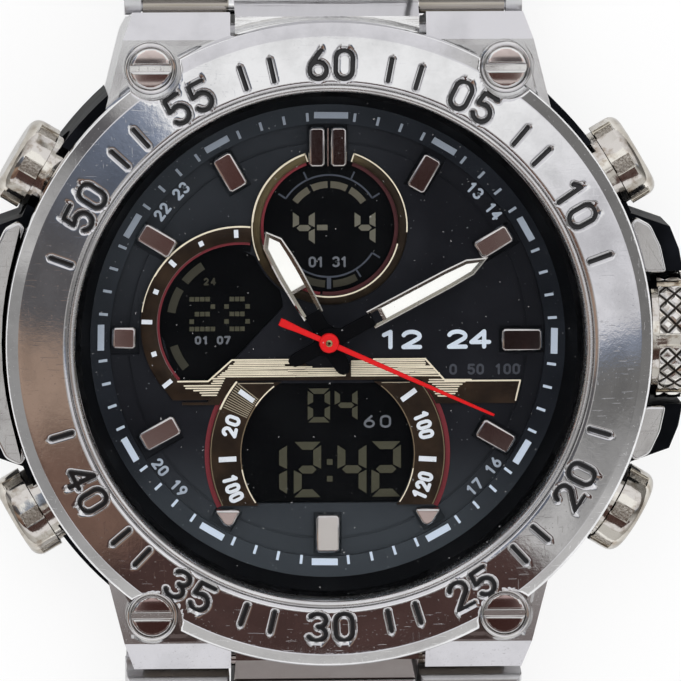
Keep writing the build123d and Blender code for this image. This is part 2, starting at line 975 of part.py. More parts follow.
def link_width(number):
    return bracelet_width - taper_step * (number - 1)


def near_end(width, length, height):
    """Outer rows from the near hinge on, with the cheeks that hold the pin."""
    outer = None
    row = width / 2 - centre_half - row_gap
    for side in (1, -1):
        x = side * (centre_half + row_gap + row / 2)
        block = Box(row, length, height, align=(Align.CENTER, Align.MIN, Align.CENTER))
        block = Pos(x, hinge_gap, 0) * block
        block = fillet(block.edges().group_by(Axis.Z)[-1], outer_edge)
        cheek_x = side * (width / 2 - cheek_width / 2)
        cheek = cross_rod(cheek_r, cheek_width / 2, 0, 0)
        arm = Pos(0, (hinge_gap + overrun) / 2, 0) * Box(cheek_width, hinge_gap + overrun, cheek_r * 2)
        block += Pos(cheek_x, 0, 0) * (cheek + arm)
        outer = block if outer is None else outer + block
    return outer


def link(number, last_barrel):
    """One link: near hinge on the origin, far hinge one pitch along +Y."""
    width = link_width(number)
    length = link_pitch - hinge_gap * 2
    nose_r = link_height / 2
    centre = Pos(0, socket_edge, 0) * Box(
        centre_half * 2, link_pitch - socket_edge, link_height, align=(Align.CENTER, Align.MIN, Align.CENTER)
    )
    centre = fillet(centre.edges().filter_by(Axis.Y).group_by(Axis.Z)[-1], centre_edge)
    centre += cross_rod(nose_r, centre_half - centre_edge, link_pitch, 0)
    centre -= cross_rod(nose_r + socket_gap, centre_half + row_gap, 0, 0)
    body = near_end(width, length, outer_height) + centre
    web_length = link_pitch - web_start - web_end
    web = Pos(0, web_start + web_length / 2, (web_top - web_foot) / 2) * Box(
        (centre_half + row_gap * 2) * 2, web_length, web_top + web_foot
    )
    body += web
    body += cross_rod(barrel_r, last_barrel, link_pitch, 0)
    body -= cross_rod(pin_r + running_gap, width, link_pitch, 0)
    body -= cross_rod(pin_r, width, 0, 0)
    return body


def link_pin(width):
    return cross_rod(pin_r, width / 2 - seat_gap / 2, 0, 0)


def hinge_places(count):
    """Near hinge of each link on the 12 o'clock side, and the hinge past the last."""
    places = [(hinge_y, hinge_level, -first_tilt)]
    y = hinge_y + link_pitch * cos(radians(first_tilt))
    for i in range(count):
        places.append((y + link_pitch * i, link_level, 0))
    return places[: count + 1]


def on_side(side, shape):
    """Turns a shape of the 12 o'clock side to the side that is named."""
    return shape if side == 12 else Rot(0, 0, 180) * shape


def seat_link(place, shape):
    y, z, tilt = place
    return Pos(0, y, z) * Rot(tilt, 0, 0) * shape


def bracelet_side(side, count):
    places = hinge_places(count)
    for i in range(count):
        number = i + 1
        barrel = barrel_half(link_width(number + 1))
        body = link(number, barrel)
        save(f"link_{side}_{number}", on_side(side, seat_link(places[i], body)))
        save(f"link_pin_{side}_{number}", on_side(side, seat_link(places[i], link_pin(link_width(number)))))
    return places[count]


def clasp_cover(width):
    """The clasp's cover: near hinge on the origin, far end along +Y."""
    foot = -link_height / 2
    row_start = hinge_gap
    body = Pos(0, row_start, foot) * Box(
        width, clasp_length - row_start, clasp_height, align=(Align.CENTER, Align.MIN, Align.MIN)
    )
    body = fillet(body.edges().group_by(Axis.Z)[-1], clasp_edge)
    hollow = Pos(0, clasp_block, foot - overrun) * Box(
        width - clasp_wall * 2,
        clasp_length,
        clasp_height - clasp_roof + overrun,
        align=(Align.CENTER, Align.MIN, Align.MIN),
    )
    body -= hollow
    body -= cross_rod(link_height / 2 + socket_gap, centre_half + row_gap, 0, 0)
    for side in (1, -1):
        cheek_x = side * (width / 2 - cheek_width / 2)
        cheek = cross_rod(cheek_r, cheek_width / 2, 0, 0)
        arm = Pos(0, (hinge_gap + overrun) / 2, 0) * Box(cheek_width, hinge_gap + overrun, cheek_r * 2)
        body += Pos(cheek_x, 0, 0) * (cheek + arm)
    body -= cross_rod(pin_r, width, 0, 0)
    far = clasp_length - blade_far_inset
    body -= cross_rod(blade_pin_r, width, far, upper_blade_level())
    # The roof is cut back between two ears, so that the blades can swing right out
    notch_width = (blade_half + cover_notch_gap) * 2
    notch = Box(notch_width, clasp_length, clasp_height * 2, align=(Align.CENTER, Align.MIN, Align.MIN))
    return body - Pos(0, far - cover_notch_reach, foot) * notch


def upper_blade_level():
    return blade_gap / 2 + blade_height / 2


def lower_blade_level():
    return -blade_gap / 2 - blade_height / 2


def blade(half, length, level, start):
    """A flat blade that starts at a hinge line."""
    plate = Box(half * 2, length, blade_height, align=(Align.CENTER, Align.MIN, Align.CENTER))
    return Pos(0, start, level) * plate


def clasp_upper_blade():
    far = clasp_length - blade_far_inset
    inner = blade_near + blade_knuckle_r + knuckle_gap
    level = upper_blade_level()
    body = blade(blade_half, far - inner, level, inner)
    body += cross_rod(blade_knuckle_r, blade_half, far, level)
    body += blade(knuckle_half, blade_knuckle_r * 2 + knuckle_gap, level, blade_near)
    body += cross_rod(blade_knuckle_r, knuckle_half, blade_near, 0)
    body -= cross_rod(blade_pin_r + running_gap, blade_half * 2, far, level)
    body -= cross_rod(blade_pin_r, blade_half * 2, blade_near, 0)
    return body


def clasp_lower_blade():
    far = clasp_length - blade_far_inset / 2
    inner = blade_near + blade_knuckle_r + knuckle_gap
    level = lower_blade_level()
    body = blade(blade_half, far + blade_knuckle_r - inner, level, inner)
    for side in (1, -1):
        half = (blade_half - knuckle_half - knuckle_gap) / 2
        x = side * (knuckle_half + knuckle_gap + half)
        arm = blade(half, blade_knuckle_r * 2 + knuckle_gap, level, blade_near)
        body += Pos(x, 0, 0) * (arm + cross_rod(blade_knuckle_r, half, blade_near, 0))
    body += cross_rod(blade_knuckle_r, blade_half, far + blade_knuckle_r, level)
    body -= cross_rod(eye_bore_r, blade_half * 2, far + blade_knuckle_r, level)
    body -= cross_rod(blade_pin_r + running_gap, blade_half * 2, blade_near, 0)
    return body


def clasp(place):
    width = link_width(links_12_count + 1)
    far = clasp_length - blade_far_inset
    save("clasp_cover", seat_link(place, clasp_cover(width)))
    pin = cross_rod(blade_pin_r, width / 2 - seat_gap, far, upper_blade_level())
    save("clasp_bars", seat_link(place, Compound([link_pin(width), pin])))
    save("clasp_upper_blade", seat_link(place, clasp_upper_blade()))
    save("clasp_lower_blade", seat_link(place, clasp_lower_blade()))
    save("clasp_blade_pin", seat_link(place, cross_rod(blade_pin_r, blade_half - seat_gap, blade_near, 0)))


def head():
    save("case_core", case_core())
    save("upper_case", upper_case())
    save("bezel", bezel())
    save("bezel_screws", Compound(bezel_screws()))
    save("guard_plates", Compound(guard_plates()))
    save("crystal", crystal())
    save("crystal_gasket", crystal_gasket())
    save("retaining_ring", retaining_ring())
    save("chapter_ring", chapter_ring())
    save("case_back", case_back())
    save("case_back_gasket", case_back_gasket())
    save("case_back_screws", Compound(case_back_screws()))
    save("crown_tube", crown_tube())
    save("end_link_12", end_link())
    save("end_link_6", Rot(0, 0, 180) * end_link())
    bar = cross_rod(bar_r, bar_half, bar_y, bar_level)
    save("end_link_bars", Compound([bar, Rot(0, 0, 180) * bar]))


def display():
    save("dial", dial())
    save("hour_markers", Compound(hour_markers()))
    save("date_frame", date_frame())
    save("day_frame", day_frame())
    save("time_frame", time_frame())
    save("dial_band", dial_band())
    save("lcd_panel", lcd_panel())
    save("hour_hand", hour_hand())
    save("minute_hand", minute_hand())
    save("second_hand", second_hand())


def inside():
    save("module_housing", module_housing())
    save("circuit_board", circuit_board())
    save("quartz_movement", quartz_movement())
    save("battery_cells", Compound(battery_cells()))


def controls():
    save("crown", crown())
    save("crown_stem", crown_stem())
    collars = []
    for name, angle in pusher_places().items():
        save(name, at_pusher(angle, pusher()))
        collars.append(at_pusher(angle, pusher_collar()))
    save("pusher_collars", Compound(collars))


head()
display()
inside()
controls()
clasp(bracelet_side(12, links_12_count))
bracelet_side(6, links_6_count)
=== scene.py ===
import math
import random

import bpy
import numpy as np
from bpy.props import FloatProperty, FloatVectorProperty, IntProperty, PointerProperty
from mathutils import Matrix, Vector


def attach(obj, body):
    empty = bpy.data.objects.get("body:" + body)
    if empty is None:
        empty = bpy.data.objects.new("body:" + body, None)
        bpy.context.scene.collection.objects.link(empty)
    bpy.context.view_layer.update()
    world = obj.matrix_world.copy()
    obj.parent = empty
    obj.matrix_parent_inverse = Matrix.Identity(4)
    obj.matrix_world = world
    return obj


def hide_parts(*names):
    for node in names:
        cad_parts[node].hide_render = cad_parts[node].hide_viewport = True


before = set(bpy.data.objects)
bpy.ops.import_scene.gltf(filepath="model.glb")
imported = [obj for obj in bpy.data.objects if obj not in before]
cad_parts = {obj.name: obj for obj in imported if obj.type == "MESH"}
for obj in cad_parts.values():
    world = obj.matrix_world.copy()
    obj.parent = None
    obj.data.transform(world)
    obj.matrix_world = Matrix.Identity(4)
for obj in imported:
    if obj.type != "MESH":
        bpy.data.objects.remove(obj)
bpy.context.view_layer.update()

bl_info = {
    "name": "Ana digi wrist watch",
    "version": (1, 0, 0),
    "blender": (4, 5, 0),
    "location": "View3D > Sidebar > Watch",
    "description": "Dresses the packed watch: engraved bezel, dial prints, displays, hands, knurling and finishes",
    "category": "Object",
}

MM = 0.001

# Levels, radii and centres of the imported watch, in millimetres
DIAL_TOP = 9.6
RING_TOP = 9.82
DISPLAY_TOP = 9.1
CHAPTER_BORE, CHAPTER_EDGE = 15.4, 16.8
CHAPTER_STEP, CHAPTER_SLOPE = 0.4, 0.4
CROWN_LEVEL = 6.9
CROWN_R = 4.4
CROWN_START = 23.4
CROWN_PAD = 3.1
DATE_CENTRE = (0.14, 8.03)
DAY_CENTRE = (-6.18, 1.11)
TIME_CENTRE = (0.0, -8.1)
SCREW_X, SCREW_Y = 12.5, 19.4
BUTTON_ANGLE = 30.6

# How prints lie on the dial, in millimetres and degrees
INK_LIFT = 0.02
LINE_LEVEL = DIAL_TOP + 0.03
TRACK_TURN, TRACK_SQUEEZE, TRACK_SHIFT = 0.8, 0.99, 0.12


# Shapes

def arc(x, y, rx, ry, start, end, steps=12):
    """Points on an ellipse between two angles in degrees."""
    angles = np.radians(np.linspace(start, end, steps + 1))
    return [(x + rx * math.cos(a), y + ry * math.sin(a)) for a in angles]


# Centre lines of the numerals, each in a box 0.6 wide and 1 high
NUMERALS = {
    "0": [arc(0, 0.2, 0.28, 0.3, 0, 180) + arc(0, -0.2, 0.28, 0.3, 180, 360) + [(0.28, 0.2)]],
    "1": [[(-0.16, 0.3), (0.06, 0.5), (0.06, -0.5)]],
    "2": [arc(0, 0.21, 0.28, 0.29, 165, -35) + [(-0.28, -0.5), (0.29, -0.5)]],
    "3": [arc(-0.02, 0.25, 0.28, 0.25, 150, -80), arc(-0.02, -0.24, 0.3, 0.26, 85, -150)],
    "4": [[(0.14, -0.5), (0.14, 0.5), (-0.3, -0.2), (0.31, -0.2)]],
    "5": [[(0.26, 0.5), (-0.22, 0.5), (-0.26, 0.06)] + arc(0, -0.19, 0.29, 0.31, 120, -150)],
    "6": [[(0.14, 0.5), (-0.22, 0.02)] + arc(0, -0.2, 0.28, 0.3, 150, 510, 20)],
    "7": [[(-0.28, 0.5), (0.29, 0.5), (-0.08, -0.5)]],
    "8": [arc(0, 0.26, 0.24, 0.24, -90, 270, 16), arc(0, -0.24, 0.28, 0.26, 90, 450, 16)],
    "9": [arc(0, 0.2, 0.28, 0.3, 330, -30, 20) + [(-0.14, -0.5)]],
    " ": [],
}


def spot(angle, out, along=0.0, centre=(0, 0)):
    """The point at a distance out and a shift to its right; angle clockwise from 12 o'clock, in degrees."""
    s, c = math.sin(math.radians(angle)), math.cos(math.radians(angle))
    return centre[0] + out * s + along * c, centre[1] + out * c - along * s


def radial_bar(angle, start, end, centre=(0, 0)):
    return [spot(angle, start, 0, centre), spot(angle, end, 0, centre)]


def turned_box(angle, radius, length, width, centre=(0, 0)):
    """A block's outline, counter-clockwise: length along the radius, width across it."""
    signs = [(1, 1), (-1, 1), (-1, -1), (1, -1)]
    return [spot(angle, radius + v * length / 2, u * width / 2, centre) for u, v in signs]


def number_lines(text, pitch, put):
    """Centre lines of a number; put gives the point for a numeral's offset and a place in its box."""
    lines = []
    for i, numeral in enumerate(text):
        offset = (i - (len(text) - 1) / 2) * pitch
        lines += [[put(offset, u, v) for u, v in line] for line in NUMERALS[numeral]]
    return lines


def number_at(text, angle, radius, height, pitch, tops_out=True, width=1.0, centre=(0, 0)):
    """A number that follows a circle, with its tops outwards or inwards."""
    sign = 1 if tops_out else -1

    def put(offset, u, v):
        turn = math.degrees(sign * offset / radius)
        return spot(angle + turn, radius + sign * v * height, sign * u * height * width, centre)

    return number_lines(text, pitch, put)


def number_flat(text, x, y, height, pitch, width=1.0):
    """A number on a straight line."""
    return number_lines(text, pitch, lambda offset, u, v: (x + offset + u * height * width, y + v * height))


def distance_to(lines, x, y):
    """Distance of each point to the nearest centre line."""
    best = np.full(np.shape(x), 1e3)
    for line in lines:
        for (ax, ay), (bx, by) in zip(line, line[1:]):
            dx, dy = bx - ax, by - ay
            share = np.clip(((x - ax) * dx + (y - ay) * dy) / max(dx * dx + dy * dy, 1e-9), 0, 1)
            best = np.minimum(best, np.hypot(x - ax - share * dx, y - ay - share * dy))
    return best


def filled(field, xs, ys):
    """Flat cells that cover the area where a grid of distances is below zero, cut along its edge."""
    points, index, faces = [], {}, []

    def kept(key, point):
        if key not in index:
            index[key] = len(points)
            points.append(point)
        return index[key]

    def crossing(here, after):
        (i, j), (k, m) = here, after
        share = field[here] / (field[here] - field[after])
        point = (xs[i] + (xs[k] - xs[i]) * share, ys[j] + (ys[m] - ys[j]) * share)
        return kept((min(here, after), max(here, after)), point)

    inside = field < 0
    busy = inside[:-1, :-1] | inside[1:, :-1] | inside[:-1, 1:] | inside[1:, 1:]
    for i, j in zip(*np.nonzero(busy)):
        corners = [(i, j), (i + 1, j), (i + 1, j + 1), (i, j + 1)]
        face = []
        for here, after in zip(corners, corners[1:] + corners[:1]):
            if inside[here]:
                face.append(kept(here, (xs[here[0]], ys[here[1]])))
            if inside[here] != inside[after]:
                face.append(crossing(here, after))
        if len(face) > 2:
            faces.append(face)
    return points, faces


def grid_faces(rows, columns, close_rows=False, close_columns=False):
    faces = []
    for r in range(rows if close_rows else rows - 1):
        for c in range(columns if close_columns else columns - 1):
            r2, c2 = (r + 1) % rows, (c + 1) % columns
            faces.append([r * columns + c, r * columns + c2, r2 * columns + c2, r2 * columns + c])
    return faces


def joined(shapes):
    """Several point and face lists as one."""
    points, faces = [], []
    for more_points, more_faces in shapes:
        start = len(points)
        points += more_points
        faces += [[start + i for i in face] for face in more_faces]
    return points, faces


def neighbours(outline):
    """Each point of a closed outline with the one before and the one after it."""
    points = [Vector(p) for p in outline]
    return zip(points[-1:] + points[:-1], points, points[1:] + points[:1])


def stacked(outline, levels):
    """Loops of one outline, each inset by its own amount at its own height, under a flat top."""
    n = len(outline)
    area = sum(outline[i - 1][0] * outline[i][1] - outline[i][0] * outline[i - 1][1] for i in range(n))
    side = 1 if area > 0 else -1
    shifts = []
    for before, here, after in neighbours(outline):
        one, two = (here - before).normalized(), (after - here).normalized()
        middle = Vector((-one.y - two.y, one.x + two.x)) * side
        shifts.append(middle / max(middle.length_squared / 2, 0.35))
    points = [(x + s.x * inset, y + s.y * inset, z) for inset, z in levels for (x, y), s in zip(outline, shifts)]
    faces = grid_faces(len(levels), n, False, True) + [list(range((len(levels) - 1) * n, len(levels) * n))]
    return points, [face[::side] for face in faces]


def softened(outline, radius, steps):
    """An outline with its corners rounded."""
    out = []
    for before, here, after in neighbours(outline):
        start, end = here + (before - here).normalized() * radius, here + (after - here).normalized() * radius
        for s in (k / steps for k in range(steps + 1)):
            out.append(tuple(start * (1 - s) ** 2 + here * 2 * s * (1 - s) + end * s ** 2))
    return out


def mirrored(half):
    """A closed outline from its right half; points on the middle line aren't repeated."""
    return half + [(-x, y) for x, y in reversed(half) if x]


def revolved(profile, count=64, centre=(0, 0)):
    """A body of revolution about an upright axis from radius and height points."""
    turns = [2 * math.pi * i / count for i in range(count)]
    points = [(max(r, 0.001) * math.cos(a) + centre[0], max(r, 0.001) * math.sin(a) + centre[1], z)
              for r, z in profile for a in turns]
    return points, [face[::-1] for face in grid_faces(len(profile), count, False, True)]


def swept(profile, centre, start, end, steps):
    """Radius and height points, from the inner foot to the outer foot, carried round part of a circle."""
    n = len(profile)
    points = []
    for a in np.radians(np.linspace(start, end, steps + 1)):
        points += [(centre[0] + r * math.cos(a), centre[1] + r * math.sin(a), z) for r, z in profile]
    ends = [list(range(n - 1, -1, -1)), list(range(steps * n, steps * n + n))]
    return points, grid_faces(steps + 1, n, False, True) + ends


def spun(points, angle):
    """Points turned counter-clockwise about the upright axis, in degrees."""
    c, s = math.cos(math.radians(angle)), math.sin(math.radians(angle))
    return [(x * c - y * s, x * s + y * c, z) for x, y, z in points]


def bands(centre, *rows):
    """Four-sided cells of parts of rings; a row holds inner and outer radius, start and end angle and steps.

    The angles run counter-clockwise from 3 o'clock, in degrees.
    """
    cells = []
    for inner, outer, start, end, steps in rows:
        angles = np.radians(np.linspace(start, end, steps + 1))
        for a, b in zip(angles, angles[1:]):
            ring = ((inner, a), (outer, a), (outer, b), (inner, b))
            cells.append([(centre[0] + r * math.cos(t), centre[1] + r * math.sin(t)) for r, t in ring])
    return cells


# Pieces

def make_piece(name, shape, finishes, body="case", smooth=0, places=None, replaces=None):
    """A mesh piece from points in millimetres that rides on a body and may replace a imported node."""
    points, faces = shape
    mesh = bpy.data.meshes.new(name)
    mesh.from_pydata([(x * MM, y * MM, z * MM) for x, y, z in points], [], [list(f) for f in faces])
    mesh.update()
    piece = bpy.data.objects.new(name, mesh)
    bpy.context.scene.collection.objects.link(piece)
    for key in finishes.split():
        mesh.materials.append(finish(key))
    if places is not None:
        mesh.polygons.foreach_set("material_index", np.array(places, dtype=np.int32))
    if smooth:
        mesh.polygons.foreach_set("use_smooth", [True] * len(mesh.polygons))
        mesh.set_sharp_from_angle(angle=math.radians(smooth))
    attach(piece, body)
    if replaces:
        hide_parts(replaces)
    return piece


def add_field(piece, name, values):
    """A number for each vertex that a finish can read."""
    field = piece.data.attributes.new(name, "FLOAT", "POINT")
    field.data.foreach_set("value", np.array(values, dtype=np.float32))


def print_piece(name, lines, half_width, level, key, step):
    """Ink along centre lines, laid on a level or on a surface given by a function."""
    height = level if callable(level) else lambda x, y: level
    reach = half_width + step * 2
    shapes = []
    for line in lines:
        gx, gy = (np.arange(min(side) - reach, max(side) + reach + step, step) for side in zip(*line))
        x, y = np.meshgrid(gx, gy, indexing="ij")
        flat, cells = filled(distance_to([line], x, y) - half_width, gx, gy)
        shapes.append(([(px, py, height(px, py)) for px, py in flat], cells))
    return make_piece(name, joined(shapes), key)


def plates_piece(name, outlines, foot, top, key):
    """Several plates as one piece."""
    return make_piece(name, joined([stacked(outline, [(0, foot), (0, top)]) for outline in outlines]), key)


def cells_piece(name, cells, level, key):
    """Flat cells on one level, joined where they meet."""
    points, index, faces = [], {}, []
    for cell in cells:
        face = []
        for x, y in cell:
            place = (round(x, 4), round(y, 4))
            if place not in index:
                index[place] = len(points)
                points.append((x, y, level))
            face.append(index[place])
        faces.append(face)
    return make_piece(name, (points, faces), key)


# Shader maths

class Value:
    """A shader socket that takes part in plain arithmetic."""

    def __init__(self, finish, socket):
        self.finish = finish
        self.socket = socket

    def maths(self, operation, other=None, swapped=False):
        first, second = (other, self) if swapped else (self, other)
        values = {0: first} if second is None else {0: first, 1: second}
        return self.finish.value("ShaderNodeMath", {"operation": operation}, values)

    def __add__(self, other):
        return self.maths("ADD", other)

    def __sub__(self, other):
        return self.maths("SUBTRACT", other)

    def __rsub__(self, other):
        return self.maths("SUBTRACT", other, True)

    def __mul__(self, other):
        return self.maths("MULTIPLY", other)

    def __pow__(self, other):
        return self.maths("POWER", other)

    __radd__ = __add__

    def larger(self, other):
        return self.maths("MAXIMUM", other)

    def size(self):
        return self.maths("ABSOLUTE")

    def between(self, low, high):
        """0 below low, 1 above high, smooth in between."""
        limits = {"Value": self, "From Min": low, "From Max": high}
        return self.finish.value("ShaderNodeMapRange", {"interpolation_type": "SMOOTHSTEP"}, limits)


class Finish:
    """One node material under construction."""

    def __init__(self, name, tree=None):
        self.material = None
        if tree is None:
            self.material = bpy.data.materials.new(name)
            self.material.use_nodes = True
            tree = self.material.node_tree
        self.tree = tree
        self.tree.nodes.clear()

    def node(self, kind, settings=None, values=None):
        """Adds a node: its settings first, then the values or links of its sockets."""
        node = self.tree.nodes.new(kind)
        for key, value in (settings or {}).items():
            setattr(node, key, value)
        for key, value in (values or {}).items():
            value = value.socket if isinstance(value, Value) else value
            if isinstance(value, bpy.types.NodeSocket):
                self.tree.links.new(value, node.inputs[key])
            else:
                node.inputs[key].default_value = value
        return node

    def value(self, kind, settings=None, values=None, output=0):
        return Value(self, self.node(kind, settings, values).outputs[output])

    def where(self, output="Object"):
        return self.node("ShaderNodeTexCoord").outputs[output]

    def place(self, stretch=(1, 1, 1)):
        """Object coordinates in millimetres, stretched along each axis."""
        scale = [1000 * s for s in stretch]
        return self.node("ShaderNodeVectorMath", {"operation": "MULTIPLY"}, {0: self.where(), 1: scale}).outputs[0]

    def axes(self, vector=None):
        split = self.node("ShaderNodeSeparateXYZ", None, {0: vector or self.place()})
        return [Value(self, output) for output in split.outputs]

    def noise(self, scale, detail=2.0, vector=None, rough=0.5):
        values = {"Vector": vector or self.place(), "Scale": scale, "Detail": detail, "Roughness": rough}
        return self.value("ShaderNodeTexNoise", None, values)

    def grain(self, stretch, detail=2.0, rough=0.5):
        """Noise stretched along the axes."""
        return self.noise(1.0, detail, self.place(stretch), rough)

    def cells(self, scale, feature="F1"):
        return self.value("ShaderNodeTexVoronoi", {"feature": feature}, {"Vector": self.place(), "Scale": scale})

    def attribute(self, name):
        return self.value("ShaderNodeAttribute", {"attribute_name": name}, None, "Fac")

    def blend(self, first, second, share):
        """A colour between two colours."""
        values = {0: share, 6: self.colour(first), 7: self.colour(second)}
        return self.node("ShaderNodeMix", {"data_type": "RGBA"}, values).outputs[2]

    def around(self, x, y, tones):
        """A colour that changes with the direction, from tones at angles clockwise from +Y in degrees."""
        turn = x.maths("ARCTAN2", y) * (0.5 / math.pi) + 0.5
        node = self.node("ShaderNodeValToRGB", None, {0: turn})
        stops = node.color_ramp.elements
        while len(stops) < len(tones):
            stops.new(0.5)
        for stop, (angle, tone) in zip(stops, tones):
            stop.position, stop.color = (angle + 180) / 360, self.colour(tone)
        return node.outputs[0]

    def colour(self, colour):
        return (*colour[:3], 1.0) if isinstance(colour, tuple) else colour

    def bump(self, height, strength, distance):
        values = {"Strength": strength, "Distance": distance * MM, "Height": height}
        return self.node("ShaderNodeBump", None, values).outputs[0]

    def surface(self, colour, roughness, metallic=0.0, normal=None, **more):
        values = {"Base Color": self.colour(colour), "Roughness": roughness, "Metallic": metallic}
        if normal is not None:
            values["Normal"] = normal
        values.update({key.replace("_", " "): value for key, value in more.items()})
        return self.output(self.node("ShaderNodeBsdfPrincipled", None, values))

    def output(self, shader, kind="ShaderNodeOutputMaterial"):
        self.node(kind, None, {0: shader.outputs[0]})
        return self.material


# Finishes

def shade(colour, factor):
    return tuple(c * factor for c in colour[:3])


STEEL = (0.80, 0.80, 0.81)
ROSE_SHADE = (0.66, 0.47, 0.44)
ACROSS, ALONG = (0.08, 7.0, 7.0), (7.0, 0.08, 7.0)


def polished_steel(f, tint=STEEL, roughness=0.07, wear=1.0):
    """Mirror polish with wiping marks, hair scratches and dull specks."""
    smear = f.noise(0.35, 3.0)
    scratches = f.grain((0.3, 9.0, 2.0), 1.0).between(0.66, 0.72)
    scratches = scratches.larger(f.grain((8.0, 0.35, 2.0), 1.0).between(0.67, 0.73))
    specks = f.noise(7.0, 0.0).between(0.74, 0.8)
    colour = f.blend(tint, shade(tint, 0.86), smear.between(0.4, 0.75))
    rough = roughness + smear.between(0.45, 0.8) * (0.08 * wear) + scratches * (0.1 * wear) + specks * (0.2 * wear)
    height = scratches * -0.5 + f.noise(0.6) * 0.6 - specks * 0.6
    return f.surface(colour, rough, 1.0, f.bump(height, 0.1 * wear, 0.02))


def lug_steel(f):
    """Polished case, with painted shade in the pockets round the lower screws."""
    x, y, z = f.axes()
    smear = f.noise(0.35, 3.0)
    specks = f.noise(7.0, 0.0).between(0.74, 0.8)
    # painted shade: a dark brown patch fills the recesses round the lower screws
    pocket = x.size().between(9.0, 9.4) * (0 - y).between(16.6, 17.0) * (1 - (0 - y).between(21.22, 21.3))
    edge = x.size() + (0 - y - 18.3) * 0.52
    pocket = pocket * (1 - edge.between(14.2, 14.3))
    colour = f.blend(STEEL, (0.17, 0.12, 0.11), pocket * 0.9)
    colour = f.blend(colour, shade(STEEL, 0.8), smear.between(0.4, 0.75) * (1 - pocket) * 0.6)
    return f.surface(colour, 0.07 + smear * 0.07 + specks * 0.1, 1.0, f.bump(smear - specks, 0.1, 0.02))


def shaded_steel(f):
    """Polished tops whose shadow differs from piece to piece."""
    shadow = f.attribute("shadow")
    smear = f.noise(0.5, 3.0)
    warm = f.blend((1.0, 0.97, 0.95), ROSE_SHADE, shadow.between(0, 0.5))
    deep = f.blend(warm, (0.13, 0.12, 0.125), shadow.between(0.5, 1))
    colour = f.blend(deep, shade(ROSE_SHADE, 0.4), smear.between(0.5, 0.7) * shadow * 0.5)
    return f.surface(colour, 0.05 + smear * 0.03, 1.0, f.bump(smear, 0.1, 0.01))


def end_link_steel(f):
    """Polished end link, painted darker at 6 o'clock as shade; its barrels beside the nose carry painted shade, with
    streaks of painted highlight along them.
    """
    x, y, z = f.axes()
    streaks = f.grain((0.12, 5.0, 5.0))
    smear = f.noise(0.4, 3.0)
    side = x.size().between(6.7, 6.8)
    tint = (0.96, 0.96, 0.96)
    # painted shade: the end link at 6 o'clock takes a darker brown top
    top = f.blend(f.blend((0.44, 0.38, 0.36), tint, y.between(-1, 1)), shade(tint, 0.8), smear * 0.3)
    # painted shade on the barrels beside the nose, broken by lighter streaks as painted highlights
    colour = f.blend(top, (0.30, 0.26, 0.20), side * (0.55 + streaks * 0.5))
    return f.surface(colour, 0.04 + smear * 0.04 + side * streaks * 0.12, 1.0, f.bump(streaks + smear, 0.1, 0.02))


def brushed_steel(f, tint, stretch, roughness, depth=0.35):
    """Fine brushing that runs along one axis."""
    lines = f.grain(stretch, 3.0, 0.65)
    broad = f.grain([s * 0.22 for s in stretch])
    dull = f.noise(0.25)
    colour = f.blend(shade(tint, 0.84), shade(tint, 1.1), lines * 0.6 + broad * 0.4)
    return f.surface(colour, roughness + lines * 0.14 + dull * 0.08, 1.0, f.bump(lines + broad * 0.5, depth, 0.012))


def turned_steel(f):
    """Circular brushing round the watch's axis."""
    x, y, z = f.axes()
    radius = (x * x + y * y) ** 0.5
    place = f.node("ShaderNodeCombineXYZ", None, {0: radius * 9.0, 1: z * 2.0, 2: 0.0}).outputs[0]
    rings = f.noise(1.0, 3.0, place, 0.7)
    tint = (0.64, 0.64, 0.65)
    colour = f.blend(shade(tint, 0.82), shade(tint, 1.12), rings)
    return f.surface(colour, 0.24 + rings * 0.16 + f.noise(0.3) * 0.08, 1.0, f.bump(rings, 0.35, 0.015))


def engraved_steel(f, tint):
    """The bezel's polish, with black filling in its engraved numbers and bars."""
    filling = 1 - f.attribute("groove").between(-0.055, -0.025)
    smear = f.noise(0.3, 4.0, None, 0.6)
    mottle = f.noise(2.2, 4.0, None, 0.65)
    specks = f.noise(6.0, 0.0).between(0.78, 0.82)
    hairs = f.grain((0.5, 6.0, 1.0), 1.0).between(0.68, 0.72)
    hairs = hairs.larger(f.grain((5.0, 0.6, 1.0), 1.0).between(0.70, 0.74))
    metal = f.blend(tint, shade(tint, 0.84), smear.between(0.4, 0.75))
    colour = f.blend(metal, (0.004, 0.004, 0.005), filling)
    rough = 0.05 + smear.between(0.45, 0.8) * 0.05 + hairs * 0.06 + specks * 0.15 + filling * 0.3
    height = mottle + f.noise(0.5) * 0.6 - hairs * 0.3 - specks * 0.3
    return f.surface(colour, rough, 1 - filling, f.bump(height, 0.4, 0.012))


def knurled_steel(f):
    """Warm polished diamonds, with painted shade in the grooves between them."""
    wear = f.noise(2.0, 3.0)
    tops = f.blend((0.88, 0.86, 0.82), (0.58, 0.53, 0.46), wear.between(0.45, 0.75))
    # painted shade: the grooves go dark as the knurling's lift falls
    colour = f.blend((0.03, 0.025, 0.02), tops, f.attribute("lift").between(0.16, 0.5))
    return f.surface(colour, 0.16 + wear * 0.1, 1.0, f.bump(wear, 0.3, 0.03))


def warm_nickel(f):
    """Warm polished nickel with blotches of painted reflection, and painted shade on the outer ends of the push
    buttons.
    """
    wave = f.noise(0.55, 1.0)
    blotch = f.noise(1.1, 3.0, None, 0.6)
    # painted reflection: brown blotches stand for the dark reflections in the polish
    colour = f.blend((0.80, 0.77, 0.71), (0.38, 0.31, 0.24), blotch.between(0.46, 0.76))
    x, y, z = f.axes()
    turn = math.radians(BUTTON_ANGLE)
    outward = x.size() * math.cos(turn) + y.size() * math.sin(turn)
    # painted shade on the outer ends of the push buttons
    colour = f.blend(colour, (0.33, 0.30, 0.26), outward.between(24.9, 25.5) * (0.45 + blotch * 0.5))
    rough = 0.08 + blotch.between(0.5, 0.8) * 0.08 + f.noise(9.0) * 0.03
    return f.surface(colour, rough, 1.0, f.bump(wave + blotch * 0.12, 0.6, 0.12))


